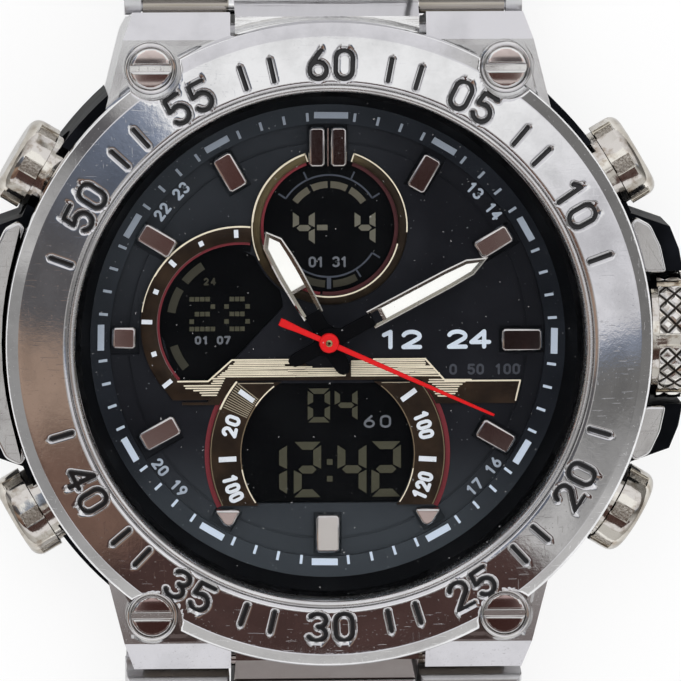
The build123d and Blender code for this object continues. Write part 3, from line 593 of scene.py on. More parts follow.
def pad_nickel(f):
    """The grained pads round the push buttons."""
    grain = f.noise(6.0, 3.0, None, 0.7)
    colour = f.blend((0.62, 0.58, 0.52), (0.30, 0.26, 0.21), grain.between(0.35, 0.7))
    return f.surface(colour, 0.3 + grain * 0.25, 1.0, f.bump(f.cells(5.0) + grain, 0.6, 0.05))


def gilt(f, tint, roughness):
    """Gold plate that goes brown in places."""
    fine = f.grain((9.0, 9.0, 1.0))
    colour = f.blend(tint, shade(tint, 0.42), f.noise(0.7, 3.0).between(0.42, 0.75))
    return f.surface(colour, roughness + fine * 0.12, 1.0, f.bump(fine, 0.15, 0.01))


def umber_plate(f):
    """Dark brown lacquered plate with a fine grain."""
    fine = f.grain((2.0, 16.0, 1.0))
    share = f.noise(0.5, 3.0).between(0.3, 0.8) * 0.7 + fine * 0.3
    colour = f.blend((0.012, 0.007, 0.004), (0.046, 0.027, 0.015), share)
    return f.surface(colour, 0.32 + fine * 0.15, 0.3, f.bump(fine, 0.12, 0.01), Specular_IOR_Level=0.2)


def ring_bronze(f):
    """Dark gilt of a display's ring, with painted light towards 10 o'clock."""
    x, y, z = f.axes()
    # painted light: the ring is lighter towards 10 o'clock
    share = ((y - DATE_CENTRE[1]) - (x - DATE_CENTRE[0])).between(-1.5, 7)
    streaks = f.grain((1.2, 1.2, 1.0), 3.0)
    fine = f.noise(7.0)
    colour = f.blend((0.030, 0.021, 0.014), (0.17, 0.135, 0.07), share * 0.75 + (streaks - 0.5) * 0.6)
    return f.surface(colour, 0.3 + fine * 0.15, 0.75, f.bump(fine, 0.15, 0.01), Specular_IOR_Level=0.3)


def black_resin(f):
    grain = f.noise(14.0, 3.0, None, 0.6)
    haze = f.noise(0.4)
    colour = f.blend((0.0015, 0.002, 0.003), (0.007, 0.008, 0.011), haze.between(0.3, 0.8))
    return f.surface(colour, 0.34 + haze * 0.2 + grain * 0.06, 0.0, f.bump(grain, 0.12, 0.02), Specular_IOR_Level=0.05)


def rubber_seal(f):
    grain = f.noise(10.0, 3.0)
    colour = f.blend((0.0015, 0.0016, 0.002), (0.005, 0.0055, 0.007), grain.between(0.3, 0.8))
    return f.surface(colour, 0.42 + grain * 0.2, 0.0, f.bump(grain, 0.15, 0.02), Specular_IOR_Level=0.08)


def clear_glass(f):
    """Mineral glass with a few dust marks."""
    dust = f.noise(4.5, 0.0).between(0.85, 0.88)
    colour = f.blend((0.02, 0.025, 0.03), (0.7, 0.7, 0.7), dust)
    alpha = 0.012 + f.noise(0.2) * 0.01 + dust * 0.25
    made = f.surface(colour, 0.04 + dust * 0.5, Alpha=alpha, IOR=1.5)
    made.surface_render_method = "BLENDED"
    return made


def display_glass(f):
    """Black display glass, slightly blue."""
    cloud = f.noise(0.2)
    colour = f.blend((0.0012, 0.0014, 0.0018), (0.0036, 0.0040, 0.0046), cloud.between(0.3, 0.8))
    return f.surface(colour, 0.25 + cloud * 0.1, Specular_IOR_Level=0.04)


def dial_lacquer(f, light=(0.013, 0.014, 0.018), dark=(0.006, 0.0065, 0.009)):
    """Matt lacquer with fine grain, faint clouds and specks of dust; it catches light towards 6 o'clock."""
    cloud = f.noise(0.18, 3.0)
    grain = f.noise(16.0)
    base = f.blend(dark, light, cloud.between(0.25, 0.75) * 0.85 + grain * 0.15)
    x, y, z = f.axes()
    sheen = (0 - y).between(6, 15) * 0.75 + (y * 0.7 - x * 0.5).between(4, 14) * 0.35
    base = f.blend(base, (0.060, 0.071, 0.082), sheen * (0.6 + cloud * 0.4))
    colour = f.blend(base, (0.35, 0.37, 0.40), f.noise(5.5, 0.0).between(0.83, 0.85) * 0.3)
    return f.surface(colour, 0.55 + grain * 0.1, 0.0, f.bump(grain, 0.05, 0.005), Specular_IOR_Level=0.08)


def lit_segment(f, tint):
    """The olive grey of a display segment, a little uneven."""
    fine = f.noise(12.0, 1.0)
    colour = f.blend(shade(tint, 0.72), shade(tint, 1.12), f.noise(1.2) * 0.6 + fine * 0.4)
    return f.surface(colour, 0.5 + fine * 0.1, Specular_IOR_Level=0.2)


def painted(f, dark, light, fine, share, rough, spread, strength=0.1, depth=0.01, **more):
    """Paint that goes from dark to light by a share, with fine grain in its roughness and relief."""
    return f.surface(f.blend(dark, light, share), rough + fine * spread, 0.0, f.bump(fine, strength, depth), **more)


def ink(f, tint):
    """Printed or filled paint with a slightly uneven edge tone."""
    fine = f.noise(9.0, 3.0, None, 0.6)
    share = fine * 0.5 + f.noise(1.1, 1.0) * 0.5
    return painted(f, shade(tint, 0.74), shade(tint, 1.12), fine, share, 0.5, 0.15, 0.15, Specular_IOR_Level=0.3)


def sheened_ink(f, tint):
    """Print with painted light that grows towards 6 o'clock."""
    fine = f.noise(9.0, 3.0, None, 0.6)
    x, y, z = f.axes()
    # painted light: lighter towards 6 o'clock
    share = (1 - (y - x * 0.2).between(-15, 15)) * 0.85 + fine * 0.15
    return painted(f, shade(tint, 0.42), shade(tint, 1.35), fine, share, 0.5, 0.15, 0.15, Specular_IOR_Level=0.3)


def luminous_paint(f):
    """Chalky white filling of the hands."""
    fine = f.noise(11.0, 4.0, None, 0.7)
    share = fine * 0.5 + f.noise(0.8) * 0.5
    return painted(f, (0.82, 0.82, 0.78), (0.96, 0.96, 0.94), fine, share, 0.6, 0.2, 0.3, 0.015,
                   Specular_IOR_Level=0.3)


def red_lacquer(f, tint):
    fine = f.noise(8.0)
    return painted(f, shade(tint, 0.82), shade(tint, 1.1), fine, fine, 0.38, 0.1,
                   Coat_Weight=fine * 0.05, Specular_IOR_Level=0.14)


def black_lacquer(f):
    fine = f.noise(8.0)
    return painted(f, (0.0012, 0.0012, 0.0016), (0.0036, 0.0036, 0.0044), fine, fine, 0.36, 0.12,
                   Specular_IOR_Level=0.03)


def moulded_plastic(f, tint):
    grain = f.noise(6.0, 3.0)
    return painted(f, shade(tint, 0.8), shade(tint, 1.15), grain, grain, 0.45, 0.15, 0.2, 0.03)


def board_laminate(f):
    """Green laminate with copper tracks under the coat."""
    tracks = f.cells(0.7, "DISTANCE_TO_EDGE")
    weave = f.grain((5.0, 0.6, 1.0), 1.0)
    colour = f.blend((0.30, 0.26, 0.09), (0.02, 0.16, 0.07), tracks.between(0.05, 0.09))
    colour = f.blend(colour, (0.03, 0.22, 0.10), weave * 0.3)
    return f.surface(colour, 0.3 + weave * 0.15, 0.0, f.bump(tracks, 0.2, 0.03))


# Each finish by name: its maker and the details
FINISHES = {
    "polished_case": (polished_steel,),
    "polished_inner": (polished_steel, (0.80, 0.80, 0.80), 0.26, 0.6),
    "polished_plates": (polished_steel, (0.78, 0.78, 0.78), 0.1, 0.8),
    "polished_screws": (polished_steel, (0.82, 0.81, 0.80), 0.08, 0.5),
    "polished_markers": (polished_steel, (0.78, 0.76, 0.75), 0.08, 0.5),
    "polished_hand": (polished_steel, (0.86, 0.85, 0.80), 0.12),
    # painted shade: a dark copy of the polish for the inner slopes of the hand frames
    "polished_slope": (polished_steel, (0.34, 0.32, 0.27), 0.2),
    "polished_blade": (polished_steel, (0.74, 0.74, 0.74), 0.14),
    "brushed_screws": (brushed_steel, (0.74, 0.74, 0.74), ACROSS, 0.2, 0.2),
    "brushed_fine": (brushed_steel, (0.66, 0.66, 0.67), ACROSS, 0.25, 0.2),
    "brushed_cells": (brushed_steel, (0.72, 0.72, 0.72), ACROSS, 0.3, 0.2),
    "brushed_links": (brushed_steel, (0.70, 0.70, 0.71), ALONG, 0.22),
    "brushed_clasp": (brushed_steel, (0.68, 0.68, 0.69), ALONG, 0.24),
    "dial_chapter": (dial_lacquer, (0.014, 0.017, 0.023), (0.007, 0.0085, 0.012)),
    "gilt_frame": (gilt, (0.30, 0.21, 0.085), 0.22),
    "gilt_pin": (gilt, (0.85, 0.66, 0.34), 0.18),
    "plastic_module": (moulded_plastic, (0.08, 0.08, 0.09)),
    "plastic_movement": (moulded_plastic, (0.14, 0.13, 0.11)),
    "lug_case": (lug_steel,), "shaded_tops": (shaded_steel,), "end_link": (end_link_steel,),
    "engraved_steel": (engraved_steel,), "turned_back": (turned_steel,), "knurled_crown": (knurled_steel,),
    "nickel_buttons": (warm_nickel,), "pads_button": (pad_nickel,), "bronze_date": (ring_bronze,),
    "umber_frame": (umber_plate,), "umber_day": (umber_plate,), "resin_case": (black_resin,),
    "seal_rubber": (rubber_seal,), "glass_crystal": (clear_glass,), "display_panel": (display_glass,),
    "dial_plate": (dial_lacquer,), "board_circuit": (board_laminate,), "lume_fill": (luminous_paint,),
    "black_root": (black_lacquer,), "red_hand": (red_lacquer,), "sheened_track": (sheened_ink,), "ink_print": (ink,),
}
SEGMENT_TINTS = {"lit": (0.128, 0.122, 0.094), "deep": (0.060, 0.058, 0.037), "faint": (0.040, 0.038, 0.026),
                 "arcs": (0.098, 0.090, 0.066)}
# cream serves the band's printed outline and the painted highlights of the display rings; straw draws their painted
# glints
INK_TINTS = {
    "bright": (0.62, 0.70, 0.80), "dim": (0.050, 0.055, 0.070), "cream": (0.80, 0.72, 0.56),
    "red": (0.17, 0.016, 0.024), "mark": (0.72, 0.76, 0.82), "wine": (0.055, 0.010, 0.012),
    "rose": (0.24, 0.17, 0.17), "bronze": (0.16, 0.12, 0.07), "straw": (0.33, 0.29, 0.21),
    "gold": (0.78, 0.70, 0.54), "fine": (0.055, 0.064, 0.086), "grey": (0.125, 0.135, 0.155),
}
FINISHES.update({f"segment_{name}": (lit_segment, tint) for name, tint in SEGMENT_TINTS.items()})
FINISHES.update({f"ink_{name}": (ink, tint) for name, tint in INK_TINTS.items()})
MADE = {}


def finish(name, *chosen):
    """The finish of that name, made once, with the details of the table or a chosen colour."""
    if name not in MADE:
        maker, *details = FINISHES[name]
        MADE[name] = maker(Finish(name), *(chosen or details))
    return MADE[name]


# Sizes and colours that a user may change

class BezelLook(bpy.types.PropertyGroup):
    numeral_height: FloatProperty(name="Numeral height", description="Height of the engraved numbers, in millimetres",
                                  default=1.98, min=0.5, max=2.2)
    numeral_pitch: FloatProperty(name="Numeral pitch", description="Distance between a number's digits, in millimetres",
                                 default=1.86, min=0.5, max=3.0)
    stroke: FloatProperty(name="Stroke", description="Half the width of an engraved stroke, in millimetres",
                          default=0.205, min=0.05, max=0.5)
    depth: FloatProperty(name="Depth", description="Depth of the engraving, in millimetres",
                         default=0.24, min=0.0, max=0.6)
    steel: FloatVectorProperty(name="Steel", description="Colour of the polished bezel", subtype="COLOR",
                               default=STEEL, min=0, max=1)


class DialLook(bpy.types.PropertyGroup):
    print_colour: FloatVectorProperty(name="Print", description="Colour of the minute track and the dial prints",
                                      subtype="COLOR", default=(0.47, 0.54, 0.64), min=0, max=1)
    track_radius: FloatProperty(name="Track radius", description="Outer radius of the minute track, in millimetres",
                                default=16.27, min=15.5, max=16.7)
    hatch_lines: IntProperty(name="Hatch lines", description="Number of gold lines across the band",
                             default=9, min=2, max=20)


class HandLook(bpy.types.PropertyGroup):
    second_colour: FloatVectorProperty(name="Second hand", description="Colour of the second hand", subtype="COLOR",
                                       default=(0.66, 0.008, 0.010), min=0, max=1)


class ControlLook(bpy.types.PropertyGroup):
    knurl_pitch: FloatProperty(name="Knurl pitch", description="Pitch of the crown's diamonds, in millimetres",
                               default=1.20, min=0.2, max=1.5)
    knurl_height: FloatProperty(name="Knurl height", description="Height of the crown's diamonds, in millimetres",
                                default=0.17, min=0.0, max=0.4)


class StageLook(bpy.types.PropertyGroup):
    floor_colour: FloatVectorProperty(name="Floor", description="Colour of the floor", subtype="COLOR",
                                      default=(0.93, 0.93, 0.93), min=0, max=1)
    camera_distance: FloatProperty(name="Camera distance", description="Distance of the camera from the watch",
                                   default=0.6, min=0.2, max=3.0, subtype="DISTANCE", unit="LENGTH")


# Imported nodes

DRESSES = {
    "resin_case": "case_core",
    "polished_case": "guard_plates retaining_ring bezel",
    "lug_case": "upper_case",
    "end_link": "end_link_12 end_link_6",
    "glass_crystal": "crystal",
    "seal_rubber": "crystal_gasket case_back_gasket",
    "turned_back": "case_back",
    "dial_chapter": "chapter_ring",
    "dial_plate": "dial",
    "polished_markers": "hour_markers",
    "gilt_frame": "date_frame",
    "umber_frame": "day_frame time_frame dial_band",
    "display_panel": "lcd_panel",
    "plastic_module": "module_housing",
    "plastic_movement": "quartz_movement",
    "board_circuit": "circuit_board",
    "brushed_cells": "battery_cells",
    "brushed_screws": "bezel_screws",
    "brushed_fine": "case_back_screws crown_tube crown_stem end_link_bars clasp_bars clasp_blade_pin",
    "brushed_clasp": "clasp_cover",
    "polished_blade": "clasp_upper_blade clasp_lower_blade",
    "nickel_buttons": "crown",
}
FAMILIES = (("pusher", "nickel_buttons"), ("link_pin", "brushed_fine"), ("link_", "brushed_links"))


class WATCH_OT_finishes(bpy.types.Operator):
    """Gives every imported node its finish"""
    bl_idname = "watch.finishes"
    bl_label = "Finishes"

    def execute(self, context):
        wanted = {node: key for key, nodes in DRESSES.items() for node in nodes.split()}
        for node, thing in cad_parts.items():
            family = [key for start, key in FAMILIES if node.startswith(start)]
            if node in wanted or family:
                thing.data.materials.clear()
                thing.data.materials.append(finish(wanted.get(node) or family[0]))
        return {"FINISHED"}


# Bezel, inner ring, screws and side plates

BAND = ((18.8, 14.45), (20.375, 14.08), (21.95, 13.65))
# The places of the numbers and bars, in minutes round the bezel
BEZEL_NUMBERS = (0, 5, 10, 20, 25, 30, 35, 40, 50, 55)
BEZEL_BARS = (2, 3, 7, 8, 12, 18, 22, 23, 27, 28, 32, 33, 37, 38, 42, 48, 52, 53, 57, 58)
BEZEL_COLUMNS = 1500
NUMBER_RADIUS, NUMBER_STRETCH = 19.9, 1.08
BAR_START, BAR_END = 19.15, 20.65
CUT_INNER, CUT_OUTER, CUT_FLOOR, CUT_EDGE = 18.7, 21.0, 13.6, 0.10
CUT_OUT_R = 2.03
SCREW_FOOT, SCREW_TOP, DISC_R, SLOT_HALF = 10.1, 11.25, 1.46, 0.2


def band_level(r):
    """Height of the polished band at a radius, through the three points of its section."""
    (r0, z0), (r1, z1), (r2, z2) = BAND
    first = z0 * (r - r1) * (r - r2) / ((r0 - r1) * (r0 - r2))
    second = z1 * (r - r0) * (r - r2) / ((r1 - r0) * (r1 - r2))
    third = z2 * (r - r0) * (r - r1) / ((r2 - r0) * (r2 - r1))
    return first + second + third


def bezel_rows():
    """Radius and height of the bezel's section, from the inner foot to the outer foot."""
    rows = [(18.5, 11.0), (18.5, 14.25), (18.53, 14.32), (18.6, 14.37), (18.72, 14.43)]
    rows += [(r, band_level(r)) for r in (*np.arange(18.8, 20.96, 0.072), 21.2, 21.45, 21.7, 21.84)]
    rows += [(21.92, 13.657), (21.97, 13.63), (22.02, 13.59), (22.2, 13.444), (22.4, 13.28), (22.6, 13.115)]
    return rows + [(22.72, 13.01), (22.77, 12.95), (22.8, 12.86), (22.8, 11.0)]


def scallop_reach(angle):
    """Radius at which the cut-outs round the bezel screws limit the ring, for angles in radians."""
    reach = np.full(angle.shape, 99.0)
    centre = math.hypot(SCREW_X, SCREW_Y)
    for x, y in ((1, 1), (-1, 1), (-1, -1), (1, -1)):
        offset = (angle - math.atan2(y * SCREW_Y, x * SCREW_X) + math.pi) % (2 * math.pi) - math.pi
        inside = CUT_OUT_R ** 2 - (centre * np.sin(offset)) ** 2
        near = centre * np.cos(offset) - np.sqrt(np.maximum(inside, 0))
        reach = np.where((inside > 0) & (np.abs(offset) < 0.3), np.minimum(reach, near), reach)
    return reach


class WATCH_OT_bezel(bpy.types.Operator):
    """Makes the polished bezel ring with its engraved numbers"""
    bl_idname = "watch.bezel"
    bl_label = "Bezel"

    def execute(self, context):
        look = context.scene.watch_bezel
        lines = [radial_bar(minute * 6, BAR_START, BAR_END) for minute in BEZEL_BARS]
        for minute in BEZEL_NUMBERS:
            text, tops_out = f"{minute or 60:02d}", minute < 15 or minute > 45
            lines += number_at(text, minute * 6, NUMBER_RADIUS, look.numeral_height, look.numeral_pitch, tops_out,
                               NUMBER_STRETCH)
        rows = np.array(bezel_rows())
        angle = np.linspace(0, 2 * math.pi, BEZEL_COLUMNS, endpoint=False)
        r = np.minimum(rows[:, :1], scallop_reach(angle)[None, :])
        z = np.repeat(rows[:, 1:], BEZEL_COLUMNS, axis=1)
        x, y = r * np.cos(angle), r * np.sin(angle)
        groove = np.full(r.shape, 1.0)
        band = (r > CUT_INNER) & (r < CUT_OUTER) & (z > CUT_FLOOR)
        turns = np.degrees(np.broadcast_to(angle, r.shape))
        for line in lines:
            middle = math.degrees(math.atan2(np.mean([p[1] for p in line]), np.mean([p[0] for p in line]))) % 360
            near = band & (np.abs((turns - middle + 180) % 360 - 180) < 6)
            groove[near] = np.minimum(groove[near], distance_to([line], x[near], y[near]) - look.stroke)
        share = np.clip((CUT_EDGE - groove) / (2 * CUT_EDGE), 0, 1)
        z = z - look.depth * share * share * (3 - 2 * share)
        points = np.stack([x, y, z], axis=-1).reshape(-1, 3)
        faces = [face[::-1] for face in grid_faces(len(rows), BEZEL_COLUMNS, True, True)]
        finish("engraved_steel", tuple(look.steel))
        piece = make_piece("bezel_ring", (points, faces), "engraved_steel",
                           smooth=50, replaces="bezel")
        add_field(piece, "groove", groove.ravel())
        return {"FINISHED"}


class WATCH_OT_inner_ring(bpy.types.Operator):
    """Makes the rounded ring that holds the crystal"""
    bl_idname = "watch.inner_ring"
    bl_label = "Inner ring"

    def execute(self, context):
        profile = [(18.48, 11.0), (18.48, 14.16), (18.45, 14.22), (18.38, 14.28), (18.3, 14.3), (18.2, 14.29)]
        profile += [(18.1, 14.24), (18.02, 14.14), (17.97, 14.0), (17.96, 13.8), (17.96, 11.0)]
        ring = revolved(profile, 240)
        make_piece("inner_ring", ring, "polished_inner", smooth=50, replaces="retaining_ring")
        return {"FINISHED"}


class WATCH_OT_bezel_screws(bpy.types.Operator):
    """Makes the four slotted screws with a round rim and a domed disc"""
    bl_idname = "watch.bezel_screws"
    bl_label = "Bezel screws"

    def execute(self, context):
        foot, top = SCREW_FOOT, SCREW_TOP
        rim = [(1.83, foot), (1.83, top - 0.17), (1.81, top - 0.09), (1.75, top - 0.03), (1.67, top)]
        rim += [(1.59, top - 0.03), (1.53, top - 0.1), (1.5, top - 0.25), (1.5, foot + 0.4), (0.7, foot + 0.4)]
        for name, side_x, side_y in (("12_left", -1, 1), ("12_right", 1, 1), ("6_left", -1, -1), ("6_right", 1, -1)):
            x, y = side_x * SCREW_X, side_y * SCREW_Y
            base = [(x + DISC_R * math.cos(a), y + DISC_R * math.sin(a)) for a in np.radians(np.arange(0, 360, 9))]
            shapes = [revolved(rim, 56, (x, y)), self.half_disc(x, y, 1), self.half_disc(x, y, -1)]
            points, faces = joined(shapes + [stacked(base, [(0, top - 0.6), (0, top - 0.3)])])
            places = [1 if self.inner_part(points, face, x, y) else 0 for face in faces]
            piece = make_piece(f"bezel_screw_{name}", (points, faces), "polished_screws shaded_tops",
                               smooth=35, places=places, replaces="bezel_screws")
            add_field(piece, "shadow", [0.25 if y > 0 else 0.72] * len(points))
        return {"FINISHED"}

    def inner_part(self, points, face, x, y):
        """Whether a face lies inside a half of the disc, away from its rounded edges."""
        u, v, z = (sum(points[i][k] for i in face) / len(face) for k in range(3))
        return min(DISC_R - math.hypot(u - x, v - y), abs(v - y) - SLOT_HALF) > 0.17 and z > SCREW_TOP - 0.2

    def half_disc(self, x, y, side):
        """A domed half of the disc, with rounded edges along the slot and the rim."""
        top = SCREW_TOP - 0.06
        rows = [SLOT_HALF + e for e in (0, 0.02, 0.06, 0.12)] + list(np.linspace(SLOT_HALF + 0.2, DISC_R - 0.16, 8))
        rows += [DISC_R - e for e in (0.1, 0.05, 0.015, 0.002)]
        shares = [-1, -0.985, -0.95, -0.9] + list(np.linspace(-0.8, 0.8, 13)) + [0.9, 0.95, 0.985, 1]
        points = []
        for v in rows:
            half = math.sqrt(max(DISC_R ** 2 - v ** 2, 0.0004))
            for u in (share * half for share in shares):
                gap = min(DISC_R - math.hypot(u, v), v - SLOT_HALF)
                drop = 0.06 * (v / DISC_R) ** 2 + 0.008 * (u / DISC_R) ** 2 + 0.07 * max(0, 1 - gap / 0.1) ** 2
                points.append((x + u * side, y + v * side, top - drop))
        count, start = len(shares), len(points)
        faces = grid_faces(len(rows), count)
        points += [(px, py, top - 0.35) for px, py, _ in points[:count]]
        faces += [[i, start + i, start + i + 1, i + 1] for i in range(count - 1)]
        return points, [face[::-1] for face in faces]


class WATCH_OT_side_plates(bpy.types.Operator):
    """Makes the rounded steel plates on the side guards"""
    bl_idname = "watch.side_plates"
    bl_label = "Side plates"

    def execute(self, context):
        foot, top = 9.4, 10.75
        outer = [(22.8, 8.15), (23.55, 6.6), (23.95, 4.76)]
        inner = self.along_bezel(12.02, 15.0, 18.0, 21.0) + [(21.75, 8.68)]
        right = softened(inner + outer, 0.3, 3)
        high = [(-x, y) for x, y in [*reversed(outer), (21.75, 8.68)]]
        edge = [(-x, y) for x, y in self.along_bezel(21, 17, 13, 9, 5, 0, -5, -9, -13, -17, -21)]
        left = softened(high + edge + [(x, -y) for x, y in reversed(high)], 0.3, 3)
        drops = ((0, 0.2), (0.03, 0.1), (0.08, 0.04), (0.14, 0.01), (0.17, 0), (0.19, 0))
        levels = [(0, foot)] + [(inset, top - drop) for inset, drop in drops]
        for name, outline in (("right_12", right), ("right_6", [(x, -y) for x, y in right]), ("left", left)):
            make_piece(f"side_plate_{name}", stacked(outline, levels), "polished_plates",
                       smooth=40, replaces="guard_plates")
        return {"FINISHED"}

    def along_bezel(self, *angles):
        """Points just outside the bezel."""
        return [(22.87 * math.cos(a), 22.87 * math.sin(a)) for a in np.radians(angles)]


# Dial

# Markers as turned boxes: angle, radius, length, width and centre; then the two short ones beside 6 o'clock
MARKERS = [
    (29.9, 13.66, 2.7, 1.45), (59.3, 13.65, 2.7, 1.45), (120, 13.75, 2.7, 1.5), (241.3, 13.55, 2.85, 1.5),
    (300.8, 14.05, 2.7, 1.5), (330.1, 13.85, 2.7, 1.5), (90, 13.75, 2.9, 1.65), (180, 13.75, 2.7, 1.73),
    (271.2, 14.42, 1.72, 1.6), (0, 13.75, 2.85, 1.17, (0.77, 0)), (0, 13.75, 2.85, 1.17, (-0.77, 0)),
    (0, 13.75, 2.75, 0.16),
]
SHORT_MARKER = [(6.1, -11.98), (6.75, -13.25), (7.35, -13.2), (8.1, -11.98)]
MARKER_SHADOWS = [0.8, 0.05, 0.8, 0.28, 0.25, 0.6, 0.95, 0, 0.28, 0.88, 0.9, 0, 0.3, 0.3]
MARKER_TOP = 10.3
THIN_MARKER = 0.3


def chapter_level(x, y):
    """Height of the sloping ring under the minute track."""
    share = (math.hypot(x, y) - CHAPTER_BORE) / (CHAPTER_EDGE - CHAPTER_BORE)
    return DIAL_TOP + CHAPTER_STEP + CHAPTER_SLOPE * min(max(share, 0), 1)


def dial_level(x, y):
    """Level of ink on the dial and its outer step."""
    return (chapter_level(x, y) if math.hypot(x, y) > CHAPTER_BORE else DIAL_TOP) + INK_LIFT


class WATCH_OT_hour_markers(bpy.types.Operator):
    """Makes the polished hour markers with rounded edges"""
    bl_idname = "watch.hour_markers"
    bl_label = "Hour markers"

    def execute(self, context):
        outlines = [turned_box(*row) for row in MARKERS]
        outlines += [SHORT_MARKER, [(-x, y) for x, y in reversed(SHORT_MARKER)]]
        drops = [0.18, 0.1, 0.04, 0.008, 0, 0]
        shapes, field, places = [], [], []
        for outline, shadow in zip(outlines, MARKER_SHADOWS):
            thin = min(math.dist(outline[0], outline[1]), math.dist(outline[1], outline[2])) < THIN_MARKER
            insets = [0, 0.012, 0.02, 0.03, 0.035, 0.04] if thin else [0, 0.03, 0.08, 0.14, 0.17, 0.2]
            levels = [(0, DIAL_TOP - 0.18)] + [(inset, MARKER_TOP - drop) for inset, drop in zip(insets, drops)]
            points, faces = stacked(softened(outline, 0.05 if thin else 0.2, 1), levels)
            shapes.append((points, faces))
            field += [shadow] * len(points)
            places += [1 if min(points[i][2] for i in face) > MARKER_TOP - 0.001 else 0 for face in faces]
        piece = make_piece("marker_blocks", joined(shapes), "polished_markers shaded_tops",
                           smooth=50, places=places, replaces="hour_markers")
        add_field(piece, "shadow", field)
        return {"FINISHED"}


class WATCH_OT_minute_track(bpy.types.Operator):
    """Makes the minute blocks and ticks on the sloping ring"""
    bl_idname = "watch.minute_track"
    bl_label = "Minute track"

    def execute(self, context):
        look = context.scene.watch_dial
        # the track's ink carries painted light, lighter towards 6 o'clock
        finish("sheened_track", tuple(look.print_colour))
        blocks, ticks = [], []
        for minute in range(60):
            length, width, boxes = (0.62, 0.19, ticks) if minute % 5 else (0.47, 1.85 if minute else 2.4, blocks)
            boxes.append(turned_box(minute * 6 + TRACK_TURN, look.track_radius - length / 2, length, width))
        for name, boxes in (("minute_blocks", blocks), ("minute_ticks", ticks)):
            points, faces = joined([stacked(box, [(0, -0.03), (0, 0.05)]) for box in boxes])
            points = [(x, y * TRACK_SQUEEZE + TRACK_SHIFT, z) for x, y, z in points]
            points = [(x, y, chapter_level(x, y) + z) for x, y, z in points]
            make_piece(name, (points, faces), "sheened_track")
        return {"FINISHED"}


class WATCH_OT_dial_prints(bpy.types.Operator):
    """Prints the small numbers on the dial"""
    bl_idname = "watch.dial_prints"
    bl_label = "Dial prints"

    def execute(self, context):
        finish("ink_print", shade(context.scene.watch_dial.print_colour, 0.8))
        hours = []
        for text, angle in (("22 23", -48), ("13 14", 48.5), ("20 19", -131), ("17 16", 131.5)):
            hours += number_at(text, angle, 14.85, 0.68, 0.66, abs(angle) < 90)
        print_piece("hour_numbers", hours, 0.085, dial_level, "ink_print", 0.03)
        large = number_flat("12 24", 7.58, 0.0, 1.08, 1.62, 1.9)
        print_piece("format_numbers", large, 0.15, DIAL_TOP + INK_LIFT, "ink_bright", 0.035)
        small = number_flat("0 50 100", 11.15, -2.15, 0.62, 0.64, 1.1)
        print_piece("scale_numbers", small, 0.08, DIAL_TOP + INK_LIFT, "ink_dim", 0.03)
        return {"FINISHED"}


